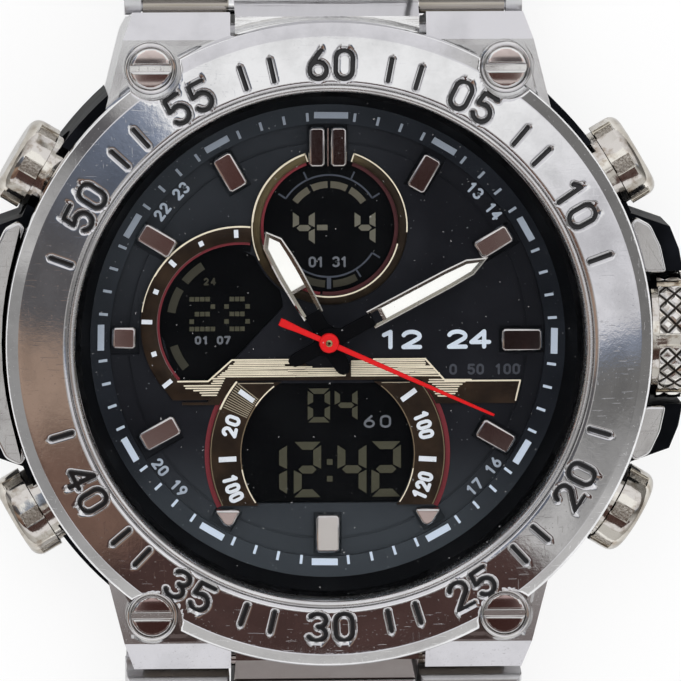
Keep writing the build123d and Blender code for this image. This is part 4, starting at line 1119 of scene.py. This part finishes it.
class WATCH_OT_window_rings(bpy.types.Operator):
    """Makes the rings round the displays with their gold and red lines, painted highlights and glints on their edges,
    marks and numbers
    """
    bl_idname = "watch.window_rings"
    bl_label = "Window rings"

    def execute(self, context):
        self.date_ring()
        self.day_ring()
        self.time_ring()
        self.marks()
        return {"FINISHED"}

    def date_ring(self):
        profile = [(4.87, 9.58), (4.87, 9.72), (4.9, 9.78), (4.97, 9.815), (5.1, 9.82), (5.28, 9.80), (5.42, 9.76)]
        ring = swept(profile + [(5.5, 9.71), (5.53, 9.66), (5.53, 9.58)], DATE_CENTRE, 108, 432, 150)
        make_piece("date_ring", ring, "bronze_date", smooth=50, replaces="date_frame")
        # painted highlights: cream lines along parts of the ring's edges and two short strokes across its top
        bright = bands(DATE_CENTRE, (5.40, 5.53, 108, 176, 60), (5.44, 5.52, 176, 205, 20), (5.43, 5.52, -4, 72, 60),
                       (4.90, 5.0, 258, 346, 60))
        bright += [turned_box(90 - a, 5.2, 0.62, 0.09, DATE_CENTRE) for a in (108.4, 71.6)]
        cells_piece("date_highlight_lines", bright, RING_TOP + 0.01, "ink_cream")
        for tone, row in (("red", (4.66, 4.88, 110, 262, 90)), ("wine", (4.60, 4.88, -96, 70, 90))):
            cells_piece(f"date_{tone}_line", bands(DATE_CENTRE, row), LINE_LEVEL, f"ink_{tone}")

    def day_ring(self):
        profile = [(5.9, 9.62), (5.9, 9.80), (5.93, 9.82), (6.99, 9.82), (7.03, 9.79), (7.03, 9.58)]
        foot = [(-10.58, -2.85), (-11.41, -3.6), (-10.95, -4.2), (-7.1, -4.2), (-6.0, -1.42), (-6.86, -1.42)]
        foot.append((-8.4, -2.86))
        levels = [(0, DIAL_TOP - 0.02), (0, RING_TOP - 0.02), (0.03, RING_TOP)]
        ring = joined([swept(profile, DAY_CENTRE, 83, 222, 90), stacked(foot, levels)])
        make_piece("day_ring", ring, "umber_day", smooth=40, replaces="day_frame")
        # painted shade: a dark sheet round the window's inner edge stands for its shaded step
        lip = bands(DAY_CENTRE, *((5.2 + 0.4 * min(1, (a - 82) / 27), 5.92, a, a + 2, 1) for a in range(82, 222, 2)))
        cells_piece("day_window_shadow_step", lip, DIAL_TOP + 0.015, "display_panel")
        # painted highlight: a cream line along the ring's outer edge on its upper left
        bright = bands(DAY_CENTRE, (6.93, 7.05, 84, 150, 60), (6.97, 7.04, 150, 172, 20))
        cells_piece("day_highlight_line", bright, RING_TOP + 0.008, "ink_cream")
        cells_piece("day_red_line", bands(DAY_CENTRE, (5.70, 5.9, 83, 222, 90)), LINE_LEVEL, "ink_red")
        rose = bands(DAY_CENTRE, (5.86, 5.92, 118, 216, 60))
        cells_piece("day_rose_line", rose, LINE_LEVEL + 0.01, "ink_rose")

    def time_ring(self):
        level = RING_TOP + 0.01
        red = bands(TIME_CENTRE, (8.36, 8.70, 143, 206, 60), (8.36, 8.70, -26, 37, 60))
        cells_piece("time_red_lines", red, LINE_LEVEL, "ink_red")
        # painted highlights on parts of the ring's edge lines
        bright = bands(TIME_CENTRE, (8.2, 8.33, 141, 157, 20), (6.12, 6.2, 190, 214, 30), (6.12, 6.2, -34, -10, 30),
                       (6.12, 6.2, 128, 146, 20))
        cells_piece("time_highlight_lines", bright, level, "ink_cream")
        faint = bands(TIME_CENTRE, (8.24, 8.31, 157, 206, 60), (8.24, 8.31, -26, 38, 60), (6.12, 6.19, 146, 190, 40),
                      (6.12, 6.19, -10, 52, 60))
        cells_piece("time_faint_lines", faint, level, "ink_bronze")
        # painted glints: short straw strokes across the frame's upper left and along its top
        glints = [radial_bar(90 - a, 6.3, 8.1, TIME_CENTRE) for a in np.arange(126.5, 156, 1.25)]
        glints += [[(-6.35, -3.03), (-3.85, -3.03)], [(3.85, -3.03), (5.8, -3.03)]]
        glints = [line for line in glints if max(p[1] for p in line) < -2.98]
        print_piece("time_glint_lines", glints, 0.028, level, "ink_straw", 0.02)

    def marks(self):
        """The white marks and numbers on the rings."""
        table = [
            (DAY_CENTRE, 6.5, 0.56, 0.31, (92.5, 137.2)), (DAY_CENTRE, 6.6, 0.76, 0.31, (177.6, 218.6)),
            (DAY_CENTRE, 6.42, 0.36, 0.34, (115.4, 157.9, 198.2)),
            (TIME_CENTRE, 7.1, 1.25, 0.36, (144, 182.6, 36, -3.2)),
        ]
        marks = [turned_box(90 - a, radius, length, width, centre) for centre, radius, length, width, places in table
                 for a in places]
        plates_piece("ring_marks", marks, RING_TOP - 0.02, RING_TOP + 0.06, "ink_mark")
        numbers = []
        for text, a in (("20", 163.5), ("100", 199.6), ("100", 16.6), ("120", -18.9)):
            pitch, width = (0.68, 0.85) if len(text) > 2 else (0.84, 1.0)
            numbers += number_at(text, 90 - a, 7.14, 0.86, pitch, 0 < a < 180, width, TIME_CENTRE)
        print_piece("ring_numbers", numbers, 0.125, RING_TOP + 0.02, "ink_mark", 0.03)


# The gold band: top and height of the hatching on its bar and its left foot, then the levels and the slant of its ends
BAR_HATCH, FOOT_HATCH = (-1.5, 1.16), (-2.68, 1.5)
BAR_TOP, TAIL_TOP, FOOT_BEND = -1.4, -2.8, -3.1
BAR_SLANT = 1.08
HUB_CLEAR = 1.9


class WATCH_OT_hatched_band(bpy.types.Operator):
    """Draws the gold outline and hatching on the band across the dial"""
    bl_idname = "watch.hatched_band"
    bl_label = "Hatched band"

    def execute(self, context):
        count = context.scene.watch_dial.hatch_lines
        level = RING_TOP + 0.015
        rng = random.Random(12)
        strokes = []
        for y in self.rows(BAR_HATCH, count, count):
            left = -6.55 + (y - BAR_TOP) * BAR_SLANT + rng.uniform(0, 0.25)
            strokes.append((left, -2.7 if y > -1.8 else 1.25, y))
            strokes.append((1.7, 6.95 - (y - BAR_TOP) * 0.9 + rng.uniform(-0.3, 0.1), y))
        for y in self.rows(FOOT_HATCH, count, count + 2):
            left = -6.65 + (y - BAR_TOP) * BAR_SLANT
            if y <= FOOT_BEND:
                left = -10.4 - (y - FOOT_BEND) * (2.2 if y < -3.5 else 0.5)
            strokes.append((left + rng.uniform(-0.15, 0.25), -7.3 + (y + 2.7) * 0.5, y))
            if y < TAIL_TOP:
                left = 7.15 - (y - TAIL_TOP) * 0.5 + rng.uniform(-0.1, 0.3)
                strokes.append((left, 10.4 + (y - TAIL_TOP) * 1.4 + rng.uniform(-0.4, 0.2), y))
        lines = []
        for start, stop, y in strokes:
            while start < stop:
                end = min(start + rng.uniform(2.2, 6.5), stop)
                if end - start > 0.5:
                    lines.append([(start, y), (end, y + rng.uniform(-0.03, 0.03))])
                start = end + rng.uniform(0.03, 0.12)
        lines = [line for line in lines if not self.crosses_hub(*line)]
        print_piece("band_hatching", lines, 0.048, level, "ink_gold", 0.035)
        outline = [
            [(-10.6, -2.86), (-8.45, -2.86), (-6.78, -1.36), (-2.65, -1.36)],
            [(3.26, -1.36), (6.92, -1.36), (8.35, -2.94), (13.66, -2.94), (13.33, -4.35)],
        ]
        print_piece("band_outline", outline, 0.055, level + 0.006, "ink_cream", 0.035)
        return {"FINISHED"}

    def rows(self, hatch, count, number):
        """Levels of a number of strokes, downwards; count of them fill the hatch."""
        top, height = hatch
        return [top - i * (height / count) for i in range(number)]

    def crosses_hub(self, start, end):
        """Whether a stroke runs into the hole round the hands' hub."""
        (x0, y0), (x1, _) = start, end
        return math.hypot(max(x0, min(0, x1)), y0) < HUB_CLEAR


# Displays

# The segments that are lit, and the rows of a dot display
SEGMENTS = {"0": "abcdef", "1": "bc", "2": "abged", "4": "fgbc"}
DOTS = {
    "2": ("11110", "00001", "01110", "10000", "11111"),
    "8": ("01110", "10001", "01110", "10001", "01110"),
}
DATE_DIGITS = (("4", -1.64, 7.91, 1.55, 2.62, 0.43), ("4", 2.69, 7.91, 1.48, 2.55, 0.42))
TIME_DIGITS = (
    ("0", -0.58, -4.72, 1.58, 2.42, 0.38), ("4", 1.35, -4.72, 1.62, 2.42, 0.38), ("1", -3.79, -9.29, 1.9, 3.95, 0.56),
    ("2", -1.39, -9.29, 1.94, 3.95, 0.56), ("4", 1.77, -9.29, 2.06, 3.95, 0.56), ("2", 4.2, -9.29, 2.1, 3.95, 0.56),
)


def seven_segments(digit, x, y, width, height, thick):
    """Outlines of one display digit, centred on x and y."""
    w, h, t, g = width / 2, height / 2, thick, 0.05
    m, cut = t / 2, t * 0.45
    shapes = {
        "a": [(t - w + g, h - t), (w - t - g, h - t), (w - g, h), (g - w, h)],
        "d": [(g - w, -h), (w - g, -h), (w - t - g, t - h), (t - w + g, t - h)],
        "g": [(m - w + g, 0), (t - w + g, -m), (w - t - g, -m), (w - m - g, 0), (w - t - g, m), (t - w + g, m)],
        "f": [(-w, g), (t - w, m + g), (t - w, h - t - g), (-w, h - cut)],
        "e": [(-w, cut - h), (t - w, t - h + g), (t - w, -m - g), (-w, -g)],
        "b": [(w, g), (w, h - cut), (w - t, h - t - g), (w - t, m + g)],
        "c": [(w, cut - h), (w, -g), (w - t, -m - g), (w - t, t - h + g)],
    }
    return [[(x + px, y + py) for px, py in shapes[s]] for s in SEGMENTS[digit]]


def dot_digits(text, x, y, across, down, dot):
    """Square dots of the digits of a dot display."""
    out = []
    for i, digit in enumerate(text):
        left = x + (i - (len(text) - 1) / 2) * across * 6.6
        for row, bits in enumerate(DOTS[digit]):
            out += [turned_box(0, 0, dot, dot, (left + (column - 2) * across, y + (2 - row) * down))
                    for column, bit in enumerate(bits) if bit == "1"]
    return out


class WATCH_OT_displays(bpy.types.Operator):
    """Makes the segments of the displays"""
    bl_idname = "watch.displays"
    bl_label = "Displays"

    def execute(self, context):
        top = DISPLAY_TOP + 0.015
        date, time = ([part for row in rows for part in seven_segments(*row)] for rows in (DATE_DIGITS, TIME_DIGITS))
        date.append(turned_box(90, -0.34, 0.75, 0.38, (0, 7.94)))
        day = dot_digits("28", -7.6, 1.84, 0.373, 0.53, 0.32)
        day += [turned_box(0, 0, 0.4, 0.4, (0.19, y)) for y in (-8.76, -9.96)]
        for name, digits, tone in (("date", date, "lit"), ("time", time, "deep"), ("day", day, "deep")):
            plates_piece(f"{name}_digits", digits, top - 0.01, top + 0.01, f"segment_{tone}")
        arcs = bands(DATE_CENTRE, (2.72, 3.2, 35, 60, 10), (2.72, 3.2, 65, 88, 10), (2.72, 3.2, 92, 114, 10),
                     (2.72, 3.2, 119, 144, 10))
        cells_piece("date_arcs", arcs, top, "segment_arcs")
        arcs = bands(DATE_CENTRE, (3.85, 4.36, -116, -94, 8), (3.85, 4.36, -86, -62, 8))
        arcs += bands(DAY_CENTRE, (4.62, 5.2, 122, 142, 10), (4.62, 5.2, 149, 170, 10), (4.62, 5.2, 198, 219, 10))
        cells_piece("display_arcs", arcs, top, "segment_faint")
        rings = bands(DATE_CENTRE, (3.58, 3.70, 33, 147, 60), (3.54, 3.66, 210, 328, 50))
        rings += [turned_box(90 - a, 3.95, 0.62, 0.12, DATE_CENTRE) for a in (33, 65, 115, 147, 212, 302, 328)]
        rings.append(turned_box(180, 4.05, 0.8, 0.3, DATE_CENTRE))
        cells_piece("display_rings", rings, top + 0.004, "ink_fine")
        small = number_flat("01 31", 0.08, 5.5, 0.62, 0.56, 1.1) + number_flat("01 07", -8.1, -0.02, 0.45, 0.52, 1.2)
        small += number_flat("60", 3.57, -5.89, 0.76, 1.15, 1.5)
        print_piece("display_numbers", small, 0.075, top + 0.006, "ink_grey", 0.03)
        flag = number_flat("24", -8.3, 4.15, 0.42, 0.5)
        print_piece("day_flag", flag, 0.06, top + 0.006, "segment_faint", 0.03)
        return {"FINISHED"}


# Hands: outlines as width and distance from the axis; the hole holds the open end, the bridge and the filling

HANDS = {
    "hour_hand": {
        "level": 10.65, "turn": 29.4,
        "outer": [(0.76, 2.1), (0.84, 3.5), (0.9, 5.4), (0.87, 6.6), (0.74, 8.05), (0.0, 9.0)],
        "hole": [(0.46, 2.3), (0.5, 3.6), (0.54, 5.4), (0.52, 6.6), (0.46, 7.86), (0.0, 8.5)],
        "bridge": [(0.54, 4.15), (0.54, 4.42)],
        "lume": [(0.52, 4.42), (0.54, 5.4), (0.52, 6.6), (0.46, 7.86), (0.0, 8.5)],
        "root": [(0.2, -2.6), (0.46, -2.35), (0.56, -1.9), (0.6, -0.9), (0.98, -0.5), (1.05, 0.2), (0.74, 0.9),
                 (0.6, 1.2), (0.6, 2.35)],
    },
    "minute_hand": {
        "level": 11.07, "turn": -62.1,
        "outer": [(0.68, 3.35), (0.67, 9.6), (0.6, 11.3), (0.0, 12.72)],
        "hole": [(0.42, 3.5), (0.38, 9.5), (0.3, 11.2), (0.0, 12.0)],
        "bridge": [(0.5, 4.1), (0.46, 4.42)],
        "lume": [(0.41, 4.42), (0.38, 9.5), (0.3, 11.2), (0.0, 12.0)],
        "root": [(0.16, -3.15), (0.42, -2.9), (0.5, -2.4), (0.52, -0.95), (0.9, -0.5), (0.95, 0.2), (0.66, 0.9),
                 (0.52, 1.2), (0.5, 3.55)],
    },
}
SECOND_BLADE = [(0.26, -3.8), (0.29, -3.55), (0.21, -2.2), (0.19, -0.6), (0.2, 0), (0.15, 6), (0.1, 12.5),
                (0.08, 12.78)]
SECOND_LEVEL, SECOND_TURN = 11.49, -114


class WATCH_OT_hands(bpy.types.Operator):
    """Makes the framed hour and minute hands and the red second hand"""
    bl_idname = "watch.hands"
    bl_label = "Hands"

    def execute(self, context):
        for name, hand in HANDS.items():
            self.framed_hand(name, hand["level"], hand["level"] + 0.2, hand)
        finish("red_hand", tuple(context.scene.watch_hands.second_colour))
        self.second_hand(SECOND_LEVEL)
        return {"FINISHED"}

    def framed_hand(self, name, level, top, hand):
        """A hand with a polished frame whose inner slope has painted shade, an open bridge, a luminous filling and a
        black root.
        """
        outer, hole = mirrored(hand["outer"]), mirrored(hand["hole"])
        n = len(outer)
        crest = [(x + (hx - x) * 0.3, y + (hy - y) * 0.3) for (x, y), (hx, hy) in zip(outer, hole)]
        loops = ((outer, level), (outer, top - 0.06), (crest, top), (hole, top - 0.06), (hole, level))
        points = [(x, y, z) for loop, z in loops for x, y in loop]
        faces = grid_faces(len(loops), n, True, True)
        # the faces of the inner slope take the painted-shade copy of the polish
        places = [1 if 2 * n <= k < 3 * n else 0 for k in range(len(faces))]
        make_piece(f"{name}_frame", (spun(points, hand["turn"]), faces), "polished_hand polished_slope",
                   name, 30, places, name)
        for part, key, levels in (
            ("bridge", "polished_hand", [(0, level + 0.01), (0, top - 0.06), (0.04, top - 0.02)]),
            ("lume", "lume_fill", [(0, level + 0.02), (0, top - 0.06), (0.03, top - 0.03)]),
            ("root", "black_root", [(0, level - 0.02), (0, top - 0.03), (0.05, top + 0.02)]),
        ):
            points, faces = stacked(mirrored(hand[part]), levels)
            make_piece(f"{name}_{part}", (spun(points, hand["turn"]), faces), key, name)

    def second_hand(self, level):
        points, faces = stacked(mirrored(SECOND_BLADE), [(0, level), (0, level + 0.15), (0.05, level + 0.2)])
        blade = (spun(points, SECOND_TURN), faces)
        make_piece("second_hand_blade", blade, "red_hand", "second_hand", replaces="second_hand")
        hub = ((0.7, -0.02), (0.7, 0.2), (0.64, 0.28), (0.4, 0.31), (0.24, 0.31), (0.24, 0))
        pin = ((0.24, 0), (0.24, 0.34), (0.2, 0.37), (0.1, 0.37), (0.08, 0.2), (0.0, 0.2))
        for name, profile, key, slot in (("hub", hub, "red_hand", "red_paint"), ("pin", pin, "gilt_pin", "gold_plate")):
            shape = revolved([(r, level + z) for r, z in profile])
            make_piece(f"second_hand_{name}", shape, key, "second_hand", 40)


# Crown and push buttons

KNURL_ROUND, KNURL_ALONG = 96, 78
KNURL_HALF = math.radians(24.2)
FLOOR_ROWS = ((23.66, 2.872), (23.66, 2.93), (24.98, 2.93), (24.98, 2.872))


def diamond(a, b):
    """Height of rows of rounded diamonds between crossing grooves, from 0 to 1."""
    rise = min(1 - abs(2 * (v - math.floor(v)) - 1) for v in (a, b))
    return min(1.0, 1.8 * rise) * 0.8 + rise * 0.2


class WATCH_OT_crown_knurl(bpy.types.Operator):
    """Makes the diamond knurling on the crown's pads"""
    bl_idname = "watch.crown_knurl"
    bl_label = "Crown knurling"

    def execute(self, context):
        look = context.scene.watch_controls
        shapes, lifts = [], []
        for middle in (math.radians(60 * pad) for pad in range(6)):
            points = []
            for i, j in np.ndindex(KNURL_ROUND + 1, KNURL_ALONG + 1):
                a = -KNURL_HALF + 2 * KNURL_HALF * i / KNURL_ROUND
                t = CROWN_PAD * j / KNURL_ALONG
                s = a * CROWN_R
                lift = diamond((s + t) / look.knurl_pitch, (s - t) / look.knurl_pitch) * look.knurl_height
                edge = min(i, KNURL_ROUND - i, j, KNURL_ALONG - j)
                r = CROWN_R - 0.02 + (lift + 0.02 if edge > 0 else 0)
                points.append((CROWN_START + t, r * math.cos(middle + a), CROWN_LEVEL + r * math.sin(middle + a)))
                lifts.append(lift / look.knurl_height if edge > 1 else 1.0)
            shapes.append((points, grid_faces(KNURL_ROUND + 1, KNURL_ALONG + 1)))
        piece = make_piece("crown_knurling", joined(shapes), "knurled_crown", "crown", 20)
        add_field(piece, "lift", lifts)
        return {"FINISHED"}


class WATCH_OT_pusher_pads(bpy.types.Operator):
    """Makes the grained floors of the recesses round the push buttons"""
    bl_idname = "watch.pusher_pads"
    bl_label = "Push button pads"

    def execute(self, context):
        shapes = []
        for middle in range(30, 390, 60):
            turns = [math.radians(middle) + math.radians(step) for step in range(-9, 10, 3)]
            points = [(x, r * math.cos(a), r * math.sin(a) + CROWN_LEVEL) for a in turns for x, r in FLOOR_ROWS]
            shapes.append((points, grid_faces(len(turns), len(FLOOR_ROWS))))
        points, faces = joined(shapes)
        for body, angle in (("pusher_2", BUTTON_ANGLE), ("pusher_4", -BUTTON_ANGLE), ("pusher_8", 180 + BUTTON_ANGLE),
                            ("pusher_10", 180 - BUTTON_ANGLE)):
            floors = (spun(points, angle), faces)
            make_piece(f"{body}_recess_floors", floors, "pads_button", body, 30)
        return {"FINISHED"}


# Stage

UMBER = (0.080, 0.045, 0.040)
CHESTNUT = (0.19, 0.115, 0.088)
TAN = (0.40, 0.285, 0.22)
COAL = (0.060, 0.058, 0.060)
SMOKE = (0.125, 0.120, 0.125)
SLATE = (0.13, 0.15, 0.195)
STORM = (0.26, 0.30, 0.39)
ASH = (0.33, 0.325, 0.32)
SMOG = (0.20, 0.195, 0.19)
HAZE = (0.58, 0.57, 0.56)
PEARL = (0.80, 0.79, 0.82)
PAPER = (1.0, 1.0, 1.0)

# Tones at angles clockwise from 12 o'clock, on the card and at the horizon
CARD_TONES = [
    (-180, UMBER), (-136, UMBER), (-130, CHESTNUT), (-112, CHESTNUT), (-99, TAN), (-89, TAN), (-82, SMOKE),
    (-68, SMOKE), (-50, SLATE), (-38, STORM), (-34, PAPER), (35, PAPER), (62, PEARL), (85, PEARL), (88, STORM),
    (94, SMOG), (102, SMOG), (108, ASH), (128, HAZE), (134, HAZE), (138, UMBER), (180, UMBER),
]
WORLD_TONES = [
    (-180, HAZE), (-150, HAZE), (-128, ASH), (-112, ASH), (-84, ASH), (-78, HAZE), (-60, ASH), (-54, SMOKE),
    (-47, SMOKE), (-40, HAZE), (-26, PEARL), (24, PEARL), (34, HAZE), (38, SMOG), (60, SMOG), (85, SMOG),
    (105, SMOG), (114, ASH), (125, HAZE), (165, HAZE), (180, HAZE),
]

# The picture's scale in pixels per metre, its size in pixels and the width of the camera's sensor in millimetres
PICTURE_SCALE, PICTURE_SIZE, SENSOR = 14210, 681, 36


def card_glow():
    """Light, dark and tinted parts of the tent that the polished steel mirrors, in metres on the card."""
    f = Finish("reflection_card")
    place = f.where()
    x, y, _ = f.axes(place)
    middle = (x - 0.029).size()
    east, north = x - 0.038, y + 0.073
    reach = (east * east + north * north) ** 0.5

    def strip(share, low, low_end, high, high_end):
        """A share kept between two soft edges along the watch."""
        return share * y.between(low, low_end) * (1 - y.between(high, high_end))

    def beside(low, low_end, high, high_end):
        """The two strips that run along the watch on both sides of its middle."""
        return middle.between(low, low_end) * (1 - middle.between(high, high_end))

    dapple = f.noise(16.0, 2.0, place).between(0.35, 0.75) * 0.3 * (1 - (y - 0.1).between(0, 0.05))
    colour = f.blend(f.around(east, north, CARD_TONES), (0, 0, 0), dapple)
    colour = f.blend(HAZE, colour, reach.between(0.10, 0.15))
    colour = f.blend(colour, PEARL, y.between(0.285, 0.30))
    colour = f.blend(colour, PEARL, (0 - y).between(0.46, 0.48))
    inside = 1 - middle.between(0.030, 0.036)
    colour = f.blend(colour, HAZE, inside * (1 - (y + 0.080).size().between(0.008, 0.011)))
    core = 1 - middle.between(0.0165, 0.0185)
    brown = strip(inside, -0.0755, -0.072, -0.031, -0.028).larger(strip(core, -0.050, -0.045, -0.024, -0.021))
    foot = (1 - middle.between(0.040, 0.046)) * (1 - y.between(-0.089, -0.086)) * (1 - reach.between(0.1, 0.11))
    colour = f.blend(colour, UMBER, brown.larger(foot))
    colour = f.blend(colour, PAPER, strip(core, -0.021, -0.019, 0.018, 0.024))
    pocket = strip(beside(0.0165, 0.0185, 0.032, 0.034), -0.031, -0.027, -0.014, -0.012)
    colour = f.blend(colour, PAPER, pocket)
    wedge = strip(beside(0.0145, 0.0155, 0.0190, 0.0200), -0.0208, -0.0202, -0.0165, -0.016)
    lens = strip(beside(0.010, 0.013, 0.036, 0.040), -0.0125, -0.011, 0.018, 0.024)
    colour = f.blend(colour, COAL, wedge.larger(lens))
    return f.output(f.node("ShaderNodeEmission", None, {"Color": colour, "Strength": 1.0}))


class WATCH_OT_stage(bpy.types.Operator):
    """Sets the floor, the lights and the camera"""
    bl_idname = "watch.stage"
    bl_label = "Stage"

    def execute(self, context):
        look, scene = context.scene.watch_stage, context.scene
        scene.view_settings.view_transform = "Standard"
        self.plane("floor", 4, -0.0003, self.paper(tuple(look.floor_colour)))
        card = self.plane("reflection_card", 1.6, 0.5, card_glow())
        for ray in ("camera", "diffuse", "shadow", "transmission"):
            setattr(card, f"visible_{ray}", False)
        self.world(scene)
        self.lamp(scene, "key", (-0.28, 0.42, 0.72), 0.55, 2.0)
        self.lamp(scene, "fill", (0.55, -0.2, 0.6), 0.6, 1.2)
        self.camera(scene, look.camera_distance)
        return {"FINISHED"}

    def plane(self, name, size, level, material):
        bpy.ops.mesh.primitive_plane_add(size=size, location=(0, 0, level))
        plane = bpy.context.object
        plane.name = name
        plane.data.materials.append(material)
        return plane

    def paper(self, tone):
        """Pale paper whose shadows stay light in the picture."""
        f = Finish("floor_paper")
        colour = f.blend(tone, shade(tone, 0.985), f.noise(0.05, 3.0))
        matt = f.node("ShaderNodeBsdfDiffuse", None, {"Color": colour})
        glow = f.node("ShaderNodeEmission", None, {"Color": (1, 1, 1, 1), "Strength": 1.0})
        seen = f.value("ShaderNodeLightPath", None, None, "Is Camera Ray") * 0.84
        return f.output(f.node("ShaderNodeMixShader", None, {0: seen, 1: matt.outputs[0], 2: glow.outputs[0]}))

    def world(self, scene):
        """A round horizon for the mirrors and even light for the rest."""
        scene.world = bpy.data.worlds.new("studio")
        scene.world.use_nodes = True
        f = Finish("studio", scene.world.node_tree)
        path = f.node("ShaderNodeLightPath")
        rays = ("Camera", "Glossy", "Transmission")
        camera, glossy, through = (Value(f, path.outputs[f"Is {ray} Ray"]) for ray in rays)
        x, y, z = f.axes(f.where("Generated"))
        upper = f.blend(f.around(x, y, WORLD_TONES), PAPER, z.between(0.5, 0.6))
        strength = 0.9 + camera.larger(glossy).larger(through) * 0.1
        colour = f.blend((1, 1, 1), upper, glossy)
        f.output(f.node("ShaderNodeBackground", None, {"Color": colour, "Strength": strength}), "ShaderNodeOutputWorld")

    def lamp(self, scene, name, place, size, power):
        data = bpy.data.lights.new(name, "AREA")
        data.size, data.energy = size, power
        lamp = bpy.data.objects.new(name, data)
        lamp.location = place
        lamp.rotation_euler = (-Vector(place)).to_track_quat("-Z", "Y").to_euler()
        lamp.visible_glossy = False
        scene.collection.objects.link(lamp)

    def camera(self, scene, distance):
        """A long lens, a little from 12 o'clock and from the left."""
        target = Vector((0.00076, 0.00027, 0.01235))
        back = Vector((-0.060, 0.115, 1.0)).normalized()
        right = Vector((0, 1, 0)).cross(back).normalized()
        data = bpy.data.cameras.new("camera")
        data.sensor_width = SENSOR
        data.lens = PICTURE_SCALE * distance * SENSOR / PICTURE_SIZE
        data.clip_start, data.clip_end = 0.01, 20
        camera = bpy.data.objects.new("camera", data)
        camera.location = target + back * distance
        camera.rotation_mode = "QUATERNION"
        camera.rotation_quaternion = Matrix((right, back.cross(right), back)).transposed().to_quaternion()
        scene.collection.objects.link(camera)
        scene.camera = camera


# The add-on

OPERATORS = (
    WATCH_OT_finishes, WATCH_OT_bezel, WATCH_OT_inner_ring, WATCH_OT_bezel_screws, WATCH_OT_side_plates,
    WATCH_OT_hour_markers, WATCH_OT_minute_track, WATCH_OT_dial_prints, WATCH_OT_window_rings, WATCH_OT_hatched_band,
    WATCH_OT_displays, WATCH_OT_hands, WATCH_OT_crown_knurl, WATCH_OT_pusher_pads, WATCH_OT_stage,
)
LOOKS = {"bezel": BezelLook, "dial": DialLook, "hands": HandLook, "controls": ControlLook, "stage": StageLook}


class WATCH_PT_panel(bpy.types.Panel):
    """Lists the sizes, the colours and the makers of the watch"""
    bl_idname = "WATCH_PT_panel"
    bl_label = "Wrist watch"
    bl_space_type = "VIEW_3D"
    bl_region_type = "UI"
    bl_category = "Watch"

    def draw(self, context):
        for name in LOOKS:
            look = getattr(context.scene, f"watch_{name}")
            for key in look.__annotations__:
                self.layout.prop(look, key)
        for operator in OPERATORS:
            self.layout.operator(operator.bl_idname)


CLASSES = (*LOOKS.values(), *OPERATORS, WATCH_PT_panel)


def register():
    for kind in CLASSES:
        bpy.utils.register_class(kind)
    for name, kind in LOOKS.items():
        setattr(bpy.types.Scene, f"watch_{name}", PointerProperty(type=kind))


def unregister():
    for name in LOOKS:
        delattr(bpy.types.Scene, f"watch_{name}")
    for kind in reversed(CLASSES):
        bpy.utils.unregister_class(kind)


def main():
    register()
    for operator in OPERATORS:
        group, name = operator.bl_idname.split(".")
        getattr(getattr(bpy.ops, group), name)()


if __name__ == "__main__":
    main()
